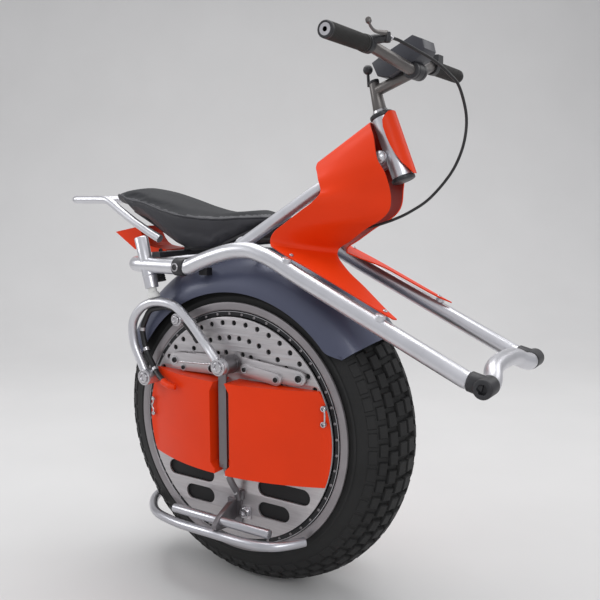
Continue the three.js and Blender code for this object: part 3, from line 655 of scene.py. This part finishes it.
def centre_bars():
    bar = block((0, -127, 350), (18, 5, 190))
    spacer = rod(v(0, PLATE_FACE_Y - 0.3, 446), v(0, -129.5, 446), 16.5)
    groove = spin(v(0, -100, 446), NEAR, [(0, 0), (0, 17.2), (4, 17.2), (4, 0)], 48)
    pair("centre_upright", bar + spacer + groove, "hub_metal", "hub", ["centre_bar"], 1.2)
    bends = [v(0, -125, 262), v(8, -118, 228), v(12, -105, 203), v(12, -97, 186)]
    link = sweep(rounded(bends, 6), 6.2, 20)
    foot = block((12, -96.4, 196), (20, 7.6, 18))
    pins = [rod(p + v(0, -8, 0), p + v(0, 6, 0), 4.5) for p in (v(4, -120, 240), v(12, -103, 203))]
    pair("toggle_link", link + foot, "hub_metal", "hub", edge=0.8)
    pair("toggle_pins", total(pins), "bolt_metal", "hub")


def arches():
    way = smooth_line([
        v(-4, -131, 448), v(-20, -126.5, 461), v(-45, ARCH_Y, 481), v(-81, ARCH_Y, 519),
        v(-110, ARCH_Y, 542), v(-128, ARCH_Y, 549.5), v(-150, ARCH_Y, 552), v(-170, ARCH_Y, 551),
        v(-188, ARCH_Y, 546), v(-206, ARCH_Y, 536), v(-222, ARCH_Y, 519), v(-230, ARCH_Y, 498),
        v(-226, ARCH_Y, 462), v(-207, ARCH_Y, 424), v(-197, ARCH_Y, 405),
    ])
    tube = sweep(way, LEG_RADIUS)
    seam = spin(v(-129, ARCH_Y, 549.8), (1, 0, -0.24), [
        (-1.2, 8.5), (-0.8, 9.1), (0.8, 9.1), (1.2, 8.5)], 28)
    bosses = [
        rod(v(0, -128.5, 446), v(0, -140, 446), 15.5, soft=1.2),
        rod(v(-194, PLATE_FACE_Y - 0.3, 401), v(-194, -128, 401), 15.5, soft=1.2),
        rod(v(-110, ARCH_Y + 9, 522), v(-110, ARCH_Y - 5, 522), 12, soft=1),
    ]
    pair("arch_leg", tube + seam + total(bosses), "satin_tube", "hub", ["arch_tube"])
    heads = flange_bolt(v(0, -140, 446), NEAR, 15.5)
    heads += flange_bolt(v(-194, -128, 401), NEAR, 15.5)
    heads += flange_bolt(v(-110, ARCH_Y - 5, 522), NEAR, 12)
    pair("arch_bolts", heads, "bolt_metal", "hub")
    def on_strut(distance):
        return STRUT_FOOT + STRUT_AXIS * distance
    bush = rod(on_strut(7.5), on_strut(18), 12, 11, soft=1.5)
    pin = rod(on_strut(8), on_strut(90), 8)
    pair("strut_pin", bush + pin, "white_nylon", "hub", ["strut_rod"])


def brakes():
    arm = plate([(-22, 423), (-22, 461), (-136, 453)] + arc(-134, 439, 14, 98, 240)
                + [(-112, 420.5)], -99, -106, soft=0.7)
    pair("brake_plate_rear", arm, "brushed_plate", "hub", ["brake_arm"], smooth=30,
         bodies=BRAKE_ARMS)
    rib = sweep([v(-122, -106.4, 437), v(-60, -106.4, 440), v(-34, -106.4, 444)], 1.3, 12)
    rear = ((-134, 439, 8.5, 5.2), (-112, 427, 6.5, 4), (-42, 433, 10, 7))  # x, z, washer, head
    screws = [flange_ring(v(x, -106, z), washer) for x, z, washer, _ in rear]
    pair("brake_screws_rear", rib + total(screws), "bolt_metal", None,
         bodies=BRAKE_ARMS)
    heads = [socket_bolt(v(x, -107, z), NEAR, head, 2.6) for x, z, _, head in rear]
    pair("brake_heads_rear", total(heads), "black_steel", None,
         bodies=BRAKE_ARMS)
    stay = plate([(24, 424), (140, 422)] + arc(147, 436, 13.5, -90, 90) + [(24, 461)],
                 -96, -100.5, soft=0.7)
    link = plate(arc(34, 440, 10, 84, 264) + arc(103, 430, 11, -96, 84), -100.2, -107, soft=0.8)
    pair("brake_link", stay + link, "brushed_plate", "hub", ["brake_stay"], smooth=30)
    front = (  # middle, washer, head, height
        (v(147, -100.5, 436), 9, 6, 3), (v(34, -107, 440), 6.5, 4.2, 2.4),
        (v(103, -107, 430), 7, 4.6, 2.4),
    )
    rings = [flange_ring(place, washer) for place, washer, _, _ in front]
    pair("brake_washers", total(rings), "bolt_metal", "hub")
    blacks = [socket_bolt(place + NEAR, NEAR, head, height) for place, _, head, height in front]
    pair("brake_heads", total(blacks), "black_steel", "hub")


def flange_ring(face, radius):
    """A thin polished washer."""
    return spin(face, NEAR, [(0, 0), (0, radius - 0.4), (0.5, radius), (1.2, radius - 0.3), (1.2, 0)])


def hoses():
    way = rounded([
        v(-119, -107, 536), v(-150, -107, 542), v(-196, -107, 533), v(-218, -107, 493),
        v(-209, -107, 452), v(-182, -110, 414), v(-160, -120, 403), v(-141, -126.5, 398),
    ], 14)
    pair("hose_run", sweep(way, 5.5, 20), "cable_black", "hub", ["hose"])
    clips = []
    for i in (3, 4, 5):
        here, after = way[i * 9 - 4], way[i * 9 - 3]
        turn = (after - here).normalized()
        clips.append(spin(here, turn, [(-3.5, 5.2), (-3.2, 6.6), (3.2, 6.6), (3.5, 5.2)], 28))
    pair("hose_clips", total(clips), "bolt_metal", "hub")
    sleeve_end = v(-74, -111, 487)
    sleeve = sweep([v(-108, -112, 521), v(-92, -111, 505), sleeve_end], 5, 20)
    tip = sweep([sleeve_end + v(-3, 0, 3), sleeve_end + v(5, 0, -5)], 6.2, 20)
    pair("puller_sleeve", sleeve + tip, "cable_black", "hub")
    wire = sweep([sleeve_end, v(-55, -110, 471), v(-44, -110, 458)], 1.3, 12)
    pair("puller_wire", wire, "bolt_metal", "hub")


def feet():
    outline = [(-92.4, 182), (-92.4, 150), (-122, 138), (-150, 142), (-160, 146), (-160, 154),
               (-146, 166), (-112, 182)]
    flat = plate(outline, -5, 5, soft=0.8)
    shape = Shape([(p.y, p.x, p.z) for p in flat.points], flat.faces)
    pair("foot_web", shape, "hub_metal", "hub", ["foot_bracket"], smooth=30)
    pad = block((0, -94, 158), (34, 5, 52))
    pair("foot_pad", pad, "hub_metal", "hub", edge=1.2)
    peg = rod(v(-112, -141, 157), v(112, -141, 157), 8.5, soft=1.4)
    pair("foot_bar", peg, "guard_metal", "hub", ["foot_peg"])
    right = [
        v(161, -100, 140), v(146, -121, 139), v(125, -142, 138), v(100, -152, 137), v(68, -155, 136),
        v(20, -153, 134), v(-20, -153, 134), v(-92, -146, 130), v(-142, -135, 128), v(-169, -125, 126),
        v(-197, -107, 124), v(-230, -74, 120), v(-254, -38, 117),
    ]
    way = smooth_line(across(right, [v(-264, 0, 115)]), 6)
    piece("guard_hoop", sweep(way, LEG_RADIUS), "guard_metal", "hub", ["guard_loop"])


# ---- frame ----
RAIL_LINE = [
    (-87, 623), (-80, 623.5), (-54, 634), (-19, 646), (12, 654.5), (38, 658), (62, 657.5), (84, 652),
    (110, 642.5), (162, 617), (220, 590),
]
RAIL_END = [(448, 484), (456, 480.2), (463, 478.5)]  # after a straight run from the bend


def rails():
    way = smooth_line([v(x, RAIL_Y, z) for x, z in RAIL_LINE], 6)
    way += [v(x, RAIL_Y, z) for x, z in RAIL_END]
    tube = sweep(way, RAIL_RADIUS, 32)
    tube += ball(v(262, -24, 818), 11)
    diagonal = smooth_line([v(14, -117, 653), v(60, -95, 689), v(104, -73, 724), v(148, -51, 759),
                            v(169, -43.7, 771.4), v(214, -34, 794), v(262, -24, 818)], 6)
    tube += sweep(diagonal, 11, 28)
    pair("rail_tube", tube, "satin_tube", "frame", ["rail"])
    bead = []
    for k in range(25):
        angle = 2 * math.pi * k / 24
        middle = v(38, -107.5, 671)
        bead.append(middle + v(16 * math.cos(angle), 7 * math.sin(angle) + 3 * math.cos(angle),
                               9.5 * math.sin(angle) - 1.5 * math.cos(angle)))
    pair("weld_bead", sweep(bead, 1.7, 10), "satin_tube", "frame")
    collar = spin(v(-112, RAIL_Y, 622.2), (1, 0, 0), [
        (0, 0), (0, 15.8), (1.2, 17), (12, 17.4), (20, 17.1), (22.4, 16), (23.4, 14.8), (23.4, 0)], 40)
    socket = spin(v(-102, RAIL_Y - 15.4, 622.4), NEAR, [
        (0, 0), (0, 7.8), (2.2, 7.8), (2.8, 7.2), (2.8, 5.8), (0.8, 5.5), (0.8, 0)], 32)
    pair("collar_ring", collar, "black_plastic", "frame", ["collar"])
    pair("collar_stud", socket, "bolt_metal", "frame")
    end = v(463, RAIL_Y, 478.5)
    way_on = v(0.972, 0, -0.234)
    sleeve = rod(end + way_on * 0.6, end + way_on * 27, 16, soft=2)
    barrel = spin(v(ELBOW_X, -103.9, ELBOW_Z), NEAR, [
        (0, 0), (0, 14.8), (1, 15.8), (33.5, 15.8), (35, 15), (36, 13.4), (36, 8.4), (35.4, 7.6, 6),
        (28, 7.6, 6), (28, 0)], 48)
    pair("elbow_cap", sleeve + barrel, "black_plastic", "frame", ["front_elbow"])
    half = [v(ELBOW_X, -103.4, ELBOW_Z), v(ELBOW_X, -95, ELBOW_Z), v(486, -78, 477),
            v(480, -60, 485), v(477, -35, 489)]
    cross = smooth_line(across(half, [v(476.5, 0, 490)]), 6)
    piece("front_bar", sweep(cross, 14.5, 32), "satin_tube", "frame", ["cross_tube"])


def rear_hoop():
    corners = [v(-112.4, y, 621.5) for y in (RAIL_Y, -RAIL_Y)]
    back = [v(-238, y, 621.5) for y in (RAIL_Y, -RAIL_Y)]
    way = rounded([corners[0], back[0], back[1], corners[1]], 48, 12)
    hoop = sweep(way, RAIL_RADIUS, 32)
    foot = STRUT_FOOT + STRUT_AXIS * 27
    sleeve = spin(foot, STRUT_AXIS, [
        (2, 9.4), (0, 9.4), (0, 12.2), (0.8, 13), (98.6, 13), (99.6, 12.4), (100, 11.4), (100, 0),
        (2, 0)], 40)
    weld = spin(foot + STRUT_AXIS * 43, STRUT_AXIS, [(-20, 13), (-18.5, 14.3), (-17, 13)], 40)
    cap = spin(foot + STRUT_AXIS * 100, STRUT_AXIS, [(0, 11), (0.6, 10.4), (0.6, 0), (0, 0)], 32)
    piece("hoop_tube", hoop + both(sleeve + weld + cap), "satin_tube", "frame", ["rear_hoop"])
    lower = v(-176, -92, 588)
    coils = [(0, 0), (0, 8.6)]
    for k in range(7):
        coils += [(2 + 4 * k, 9.4), (4 + 4 * k, 8.2)]
    coils += [(31, 8.6), (31, 0)]
    pair("damper_body", spin(lower, STRUT_AXIS, coils, 32), "black_steel", "frame", ["damper"])


def fender():
    half = []
    for k in range(25):
        angle = math.pi / 2 * k / 24
        half.append((FENDER_HALF_WIDTH * math.cos(angle),
                     FENDER_EDGE_RADIUS + FENDER_RISE * math.sin(angle)))
    section = half + [(-y, radius) for y, radius in half[-2::-1]]
    start, stop, steps = 34.5, 155.0, 90
    rows = []
    for k in range(steps + 1):
        degrees = start + (stop - start) * k / steps
        cut = 24 * max(0.0, (41 - degrees) / 6.5) ** 1.6
        row = []
        for y, radius in section:
            reach = max(radius, FENDER_EDGE_RADIUS + cut)
            width = FENDER_HALF_WIDTH + 0.2 if radius < FENDER_EDGE_RADIUS + cut else abs(y)
            row.append(about_axle(reach, math.radians(degrees), math.copysign(width, y)))
        rows.append(row)
    skin("fender_skin", grid(rows), ["slate_gloss"], "fender", 2.6, -1, 0.8)
    tabs = both(block((-62, -96, 614), (20, 16, 14)))
    piece("fender_tabs", tabs, "black_steel", "frame", edge=1)


def on_head(distance):
    return HEAD_TOP + HEAD_AXIS * distance


def head_tube():
    low = -HEAD_LENGTH
    shell = spin(on_head(0), HEAD_AXIS, [(low + 4, 0), (low + 4, 18), (-4, 18), (-4, 0)], 48)
    piece("head_shell", shell, "satin_tube", "frame", ["head_tube"])
    cups = []
    for start, end in ((low, low + 8), (-8, 0)):
        cups.append(spin(on_head(0), HEAD_AXIS, [
            (start, 0), (start, 18.6), (start + 1, 20.2), (start + 2, 20.5), (end - 2.4, 20.5),
            (end - 1.6, 19.8), (end - 0.6, 19.2), (end, 18.2), (end, 0)], 48))
    piece("head_cups", total(cups), "black_plastic", "frame")
    screw = socket_bolt(v(236, -19, 826), NEAR, 5, 3)
    piece("head_screw", both(screw), "bolt_metal", "frame")


SHIELD_LIMITS = (  # share of the way down, half angle in degrees
    (0.0, 34), (0.04, 55), (0.1, 70), (0.2, 77), (0.35, 77), (0.5, 74), (0.65, 66), (0.8, 52),
    (0.92, 30), (1.0, 14),
)


def shield_limit(share):
    for (a, low), (b, high) in zip(SHIELD_LIMITS, SHIELD_LIMITS[1:]):
        if share <= b:
            return low + (high - low) * (share - a) / (b - a)
    return SHIELD_LIMITS[-1][1]


def head_shield():
    """Curved cover round the front of the head tube, its rear edge sweeping forward below."""
    front = v(0, 1, 0).cross(HEAD_AXIS).normalized()
    rows = []
    for k in range(41):
        distance = -118 + 113 * k / 40
        limit = shield_limit(1 - k / 40)
        row = []
        for j in range(-18, 19):
            angle = math.radians(limit * j / 18)
            spoke = front * math.cos(angle) + v(0, 1, 0) * math.sin(angle)
            row.append(on_head(distance) + spoke * SHIELD_RADIUS)
        rows.append(row)
    skin("shield_skin", grid(rows), ["orange_gloss"], "head_shield", 1.6, 0, 0.4)


FAIRING_ROWS = [  # rear edge and front edge, from the ridge down to the notch and out to the tip
    ((127, 0, 813), (231, 0, 878)), ((132, -18, 803), (241, -18, 867)),
    ((147, -39, 792), (254, -34, 851)), ((159, -56, 781), (266, -44, 815)),
    ((170, -66, 763), (278, -38, 791)), ((171, -76, 753), (282, -26, 763)),
    ((160, -84, 740), (282, -22, 741)), ((143, -90, 727), (276, -20, 726)),
    ((119, -100, 707), (260, -19, 712)), ((104, -107, 694), (233, -18, 697)),
    ((98, -111, 684), (201, -16, 675)), ((98, -114, 675), (180, -16, 662)),
    ((102, -118, 668), (176, -18, 651)), ((132, -120, 653.5), (192, -36, 641)),
    ((185, -120, 630.5), (228, -65, 623)), ((240, -120, 605), (265, -80, 602)),
    ((300, -120, 577), (313, -102, 573.5)), ((336, -120, 560.5), (341, -116, 560)),
]
FOLD_ROW = 12  # the crisp fold between the side panel and the flange


def fairing():
    mirrored = [tuple((x, -y, z) for x, y, z in row) for row in FAIRING_ROWS[:0:-1]]
    rows = mirrored + FAIRING_ROWS
    last = len(FAIRING_ROWS) - 1
    spans = [(0, last - FOLD_ROW), (last - FOLD_ROW, last + FOLD_ROW), (last + FOLD_ROW, 2 * last)]
    columns = 11
    shape = Shape()
    for low, high in spans:
        edges = [smooth_line([Vector(row[side]) for row in rows[low:high + 1]], 5) for side in (0, 1)]
        lines = []
        for rear, front in zip(*edges):
            lines.append([rear.lerp(front, k / (columns - 1)) for k in range(columns)])
        shape += grid(lines)
    # the shell's inner faces take the darker orange, painted shade
    skin("fairing_skin", shape, ["orange_gloss", "orange_inside_painted_shade"], "fairing", 2.5, 0, 0.5, 44)
    lugs, heads = [], []
    for x, z in ((140, 652), (318, 570)):
        lugs.append(rod(v(x - 4, RAIL_Y - 3, z - 13), v(x - 1, RAIL_Y - 3, z - 3), 8.5))
        heads.append(socket_bolt(v(x, RAIL_Y + 8, z + 0.6), (0.42, 0, 0.9), 4.2, 2.4))
    pair("fairing_lugs", total(lugs), "satin_tube", "frame")
    pair("fairing_screws", total(heads), "bolt_metal", "frame")


# ---- saddle ----
SADDLE = [  # x, crown z, seam half width, seam z, underside half width, underside z
    (58, 720, 22, 717, 16, 713), (30, 726, 40, 720, 32, 702), (-40, 721, 60, 716, 50, 674),
    (-85, 721, 70, 715, 60, 658), (-137, 733, 78, 718, 62, 653), (-176, 745, 80, 725, 62, 668),
    (-235, 760, 80, 742, 60, 700), (-280, 767, 77, 750, 58, 722), (-308, 769, 71, 758, 56, 736),
    (-326, 768, 61, 760, 50, 742), (-338, 764, 50, 758, 44, 746),
]
SWELL_CAP = 5.0


def saddle_stations():
    """The stations of the cushion, closer together."""
    lines = [smooth_line([v(s[0], s[1], s[2]) for s in SADDLE], 4),
             smooth_line([v(s[3], s[4], s[5]) for s in SADDLE], 4)]
    return [(a.x, a.y, a.z, b.x, b.y, b.z) for a, b in zip(*lines)]


def saddle_rows(shrink):
    rows = []
    for x, crown, seam, seam_z, under, under_z in saddle_stations():
        right = []
        for k in range(7):  # underside to seam
            t = k / 6
            bulge = 2.4 * math.sin(t * math.pi)
            right.append((under + (seam - under) * math.sin(t * math.pi / 2) + bulge,
                          under_z + (seam_z - under_z) * t))
        for k in range(1, 8):  # seam to crown
            t = k / 7
            right.append((seam * (1 - t), seam_z + (crown - seam_z) * (1 - (1 - t) ** 2)))
        rim = [v(x, -max(y - shrink, 1.0), z) for y, z in right[:-1]]
        middle = v(x, 0, right[-1][1] - shrink * 0.8)
        for point in rim:
            point.z += shrink * (-0.6 if point.z > (seam_z + under_z) / 2 else 0.6)
        rows.append(rim + [middle] + [v(p.x, -p.y, p.z) for p in reversed(rim)])
    return rows


def inflate(obj, cap):
    """Pressure fills the cushion; no point moves further than the cap, in millimetres."""
    remesh = obj.modifiers.new("remesh", "REMESH")
    remesh.mode = "VOXEL"
    remesh.voxel_size = 5 * MM
    settle(obj)
    before = [vertex.co.copy() for vertex in obj.data.vertices]
    cloth = obj.modifiers.new("cloth", "CLOTH")
    cloth.settings.quality = 5
    cloth.settings.use_pressure = True
    cloth.settings.uniform_pressure_force = 4
    cloth.settings.effector_weights.gravity = 0
    cloth.point_cache.frame_start = 1
    cloth.point_cache.frame_end = 20
    scene = bpy.context.scene
    for step in range(1, 21):
        scene.frame_set(step)
    settle(obj)
    scene.frame_set(1)
    for vertex, rest in zip(obj.data.vertices, before):
        move = vertex.co - rest
        if move.length > cap * MM:
            vertex.co = rest + move.normalized() * cap * MM


def settle(obj):
    """Applies the modifiers of obj to its mesh."""
    mesh = bpy.data.meshes.new_from_object(obj.evaluated_get(bpy.context.evaluated_depsgraph_get()))
    obj.modifiers.clear()
    obj.data = mesh


def seam_height(x):
    stations = saddle_stations()
    for a, b in zip(stations, stations[1:]):
        if b[0] <= x <= a[0]:
            t = (a[0] - x) / (a[0] - b[0])
            return a[2] + (b[2] - a[2]) * t, a[3] + (b[3] - a[3]) * t
    end = stations[0] if x > stations[0][0] else stations[-1]
    return end[2], end[3]


def saddle():
    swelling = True
    shape = grid(saddle_rows(3.0 if swelling else 0.0), around=True, capped=True)
    obj = mesh_object("seat_cushion", shape, ["seat_side", "seat_top"])
    bpy.context.view_layer.update()
    if swelling:
        inflate(obj, SWELL_CAP)
    for face in obj.data.polygons:
        middle = face.center / MM
        face.material_index = 1 if middle.z > seam_height(middle.x)[1] - 0.5 else 0
    obj.data.shade_smooth()
    detail = obj.modifiers.new("detail", "SUBSURF")
    detail.levels = detail.render_levels = 1
    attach(obj, "frame")
    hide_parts("seat_pad")
    surface = obj.evaluated_get(bpy.context.evaluated_depsgraph_get())
    line = []
    for x, _, seam, seam_z, _, _ in saddle_stations()[:-1]:
        found, place, normal, _ = surface.closest_point_on_mesh(v(x, -seam, seam_z) * MM)
        line.append(place / MM + normal * 0.4 if found else v(x, -seam, seam_z))
    piece("seat_piping", sweep(across(line), 2.0, 10), "seat_side", "frame")
    dress("seat_base", "black_plastic", 1.0)


def grab_loop():
    half = [v(-196, -72, 669), v(-225, -72, 682), v(-265, -72, 702), v(-305, -72, 725),
            v(-338, -72, 746), v(-440, -72, 746)]
    corners = across(half)
    way = corners[:3] + rounded(corners[3:9], 14, 8) + corners[9:]
    piece("grab_tube", sweep(way, 8.2, 28), "satin_tube", "frame", ["grab_loop"])


def tail():
    dress("tail_piece", "orange_gloss", 1.2)
    piece("tail_screws", both(socket_bolt(v(-231, -33, 643), NEAR, 4.6, 2.5)), "black_steel", "frame")


# ---- handlebar ----
def handlebar():
    half = [v(GRIP.x, -246, GRIP.z), v(GRIP.x, -118, GRIP.z), v(300, -65, 969.5), v(310, -24, 959.3),
            v(CLAMP.x, -15, CLAMP.z)]
    way = rounded(across(half), 7)
    piece("bar_tube", sweep(way, 9.5, 28), "bar_grey", "steering", ["handlebar"])
    ends = spin(v(GRIP.x, -246, GRIP.z), NEAR, [
        (0, 0), (0, 12.6), (1.4, 12.8), (4.8, 12.6), (6, 11.6), (6, 9.4), (5, 9.2), (5, 0)], 40)
    piece("bar_ends", both(ends), "black_plastic", "steering")
    discs = spin(v(GRIP.x, -251, GRIP.z), NEAR, [
        (0, 0), (0, 9.1), (0.7, 8.8), (0.7, 3.6), (-2, 3.2), (-2, 0)], 36)
    piece("bar_discs", both(discs), "bolt_metal", "steering")
    neck = on_head(20)
    column = rod(on_head(5), v(236, 0, 944), 11.5, 9)
    arm = rod(v(238, 0, 929), v(304, 0, 954), 9.3)
    piece("stem_arm", column + arm, "bar_grey", "steering", ["stem"])
    piece("stem_cap", rod(v(236.4, 0, 943), v(234.6, 0, 947.5), 9.4), "black_plastic", "steering")
    steerer = rod(on_head(-10), neck, 8)
    collar = spin(on_head(0.3), HEAD_AXIS, [
        (0, 0), (0, 13.2), (1, 14), (5, 13), (5.7, 11), (5.7, 0)], 40)
    piece("steerer_tube", steerer + collar, "bolt_metal", "steering")
    clamp = spin(v(CLAMP.x, -19, CLAMP.z), (0, 1, 0), [
        (0, 0), (0, 12.6), (1, 14), (8, 14), (8.8, 12.8), (10, 12.8), (11, 14), (27, 14), (28, 12.8),
        (29.2, 12.8), (30, 14), (37, 14), (38, 12.6), (38, 0)], 40)
    piece("bar_clamp", clamp, "black_plastic", "steering")
    stations = [(0, 0), (0, 12.2), (1, 13.4), (5, 13.4), (6, 12.0)]
    for k in range(30):
        start = 8 + 3.3 * k
        stations += [(start, 12.0), (start + 0.6, 12.8), (start + 2.2, 12.8), (start + 2.8, 12.0)]
    stations += [(109, 12.6), (110.7, 12.2), (110.7, 0)]
    sleeve = spin(v(GRIP.x, -135, GRIP.z), NEAR, stations, 32)
    pair("grip_sleeve", sleeve, "grip_rubber", "steering", ["grip"])


def controls():
    ring_shape = rod(v(GRIP.x, -119, GRIP.z), v(GRIP.x, -133, GRIP.z), 14, soft=1.5)
    spine = [v(292, -127, 988), v(299, -119, 990), v(306, -112, 991), v(313.5, -99.5, 993)]
    body = sweep(smooth_line(spine, 5),
                 [7.5] * 5 + [7.2] * 5 + [6.6] * 5 + [5.2], 24, soft=1.2)
    pivot = rod(v(313, -108, 985), v(313, -108, 1000.4), 5.4, soft=1)
    piece("perch_body", ring_shape + body + pivot, "black_plastic", "steering", ["brake_perch"])
    piece("perch_bolts", socket_bolt(v(313, -108, 1000.2), (0, 0, 1), 3.2, 1.2)
          + rod(v(313.5, -99, 993.2), v(315, -95, 993), 3.6), "bolt_metal", "steering")
    blade = smooth_line([v(313, -108, 999), v(312.5, -120, 997.5), v(312, -132, 996.5),
                         v(313, -150, 995), v(317, -172, 998), v(322, -188, 1003)], 5)
    radii = [4.6 - 1.8 * min(i / 14, 1) for i in range(len(blade))]
    lever = sweep(blade, radii, 20, 0.62) + rod(v(320, -182, 1001), v(322.6, -190, 1003.6), 4.4, soft=2)
    piece("lever_blade", lever, "bar_grey", "brake_lever", ["brake_lever"])
    dress("switch_pod", "black_plastic", 1.6)
    buttons = total([rod(v(287 + 9 * k, 121, 1000.6), v(287 + 9 * k, 121, 1002.6), 2.8) for k in (0, 1)])
    piece("pod_buttons", buttons, "console_slate", "steering")


def console():
    side = [(254, 951), (243, 973), (258, 982), (316, 1011), (334, 1003), (338, 988), (330, 975),
            (276, 948)]
    body = plate(side, -25, 25, soft=2.2)
    piece("console_case", body, "console_slate", "steering", ["console"], smooth=30)
    slope = Matrix.Rotation(math.atan2(-29, 58), 3, "Y")
    panel = block((288, 0, 997.8), (46, 38, 1.6), slope)
    piece("console_panel", panel, "black_plastic", "steering", edge=0.6)
    dot = rod(v(252, 14, 966), v(249, 14, 965.4), 1.8, soft=0.4)
    piece("console_dot", dot, "white_nylon", "steering")
    stalk = rod(v(226, 0, 938), v(224, 0, 962), 2.5)
    knob = ball(v(224, 0, 966.6), 8.4, 32)
    piece("knob", stalk + knob, "black_plastic", "knob_lever", ["knob_lever"])


def brake_cable():
    way = smooth_line([
        v(313.5, -99.2, 993.2), v(319, -90, 992.5), v(327, -78, 988), v(339, -58, 979.5),
        v(356, -25, 966), v(370, 5, 948), v(379, 26, 930), v(385, 45, 887), v(383, 46, 846),
        v(371, 44, 808), v(353, 38, 777), v(327, 28, 746), v(300, 16, 726), v(277, 8, 714),
        v(250, 1, 704), v(222, -2, 697),
    ], 6)
    cable = mesh_object("cable_run", sweep(way, 2.5, 14, soft=0.4), ["cable_black"])
    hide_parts("brake_cable")
    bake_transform(cable)


# ---- studio ----
def studio():
    camera = bpy.data.cameras.new("camera")
    camera.sensor_width = 36
    camera.lens = CAMERA_LENS
    camera.clip_start = 0.01
    holder = bpy.data.objects.new("camera", camera)
    holder.location = CAMERA_PLACE
    holder.rotation_euler = (math.radians(CAMERA_TILT), 0, math.radians(CAMERA_TURN))
    bpy.context.scene.collection.objects.link(holder)
    bpy.context.scene.camera = holder
    wide, front, back, high, cove = 9.0, -6.0, 3.4, 6.0, 1.5
    profile = [(front, 0.0), (back - cove, 0.0)]
    profile += [(back - cove + cove * math.sin(a), cove - cove * math.cos(a))
                for a in (math.pi / 2 * k / 12 for k in range(1, 13))]
    profile.append((back, high))
    turn = Matrix.Rotation(math.radians(CAMERA_TURN), 3, "Z")
    rows = [[turn @ v(x, depth, z) for x in (-wide, wide)] for depth, z in profile]
    shape = grid(rows)
    mesh = bpy.data.meshes.new("floor")
    mesh.from_pydata(shape.points, [], shape.faces)
    mesh.shade_smooth()
    material, tree, shader = nodes_of("floor_paper", (0.62, 0.615, 0.61), 0.7, 0.0)
    tint(tree, noise(tree, 3.0), (0.61, 0.605, 0.60), (0.63, 0.625, 0.62), shader)
    mesh.materials.append(material)
    floor = bpy.data.objects.new("floor", mesh)
    bpy.context.scene.collection.objects.link(floor)
    bpy.context.scene.view_settings.view_transform = "Standard"
    world = bpy.data.worlds.new("studio")
    bpy.context.scene.world = world
    world.use_nodes = True
    world.node_tree.nodes["Background"].inputs["Color"].default_value = (0.95, 0.96, 1.0, 1)
    world.node_tree.nodes["Background"].inputs["Strength"].default_value = 0.62
    lamps = (  # place, size, power
        ((-0.4, 0.6, 3.0), 2.4, 56), ((2.6, -2.4, 2.2), 1.4, 30), ((-2.8, -1.8, 1.9), 1.4, 24),
        ((1.6, 2.2, 2.4), 1.4, 14),
    )
    for place, size, power in lamps:
        light = bpy.data.lights.new("softbox", "AREA")
        light.shape = "SQUARE"
        light.size = size
        light.energy = power
        lamp = bpy.data.objects.new("softbox", light)
        lamp.location = place
        aim = v(0, 0, 0.5) - Vector(place)
        lamp.rotation_euler = aim.to_track_quat("-Z", "Y").to_euler()
        bpy.context.scene.collection.objects.link(lamp)


studio()
tyre()
rim()
side_plates()
batteries()
catches()
centre_bars()
arches()
brakes()
hoses()
feet()
rails()
rear_hoop()
fender()
head_tube()
head_shield()
fairing()
saddle()
grab_loop()
tail()
handlebar()
controls()
console()
brake_cable()
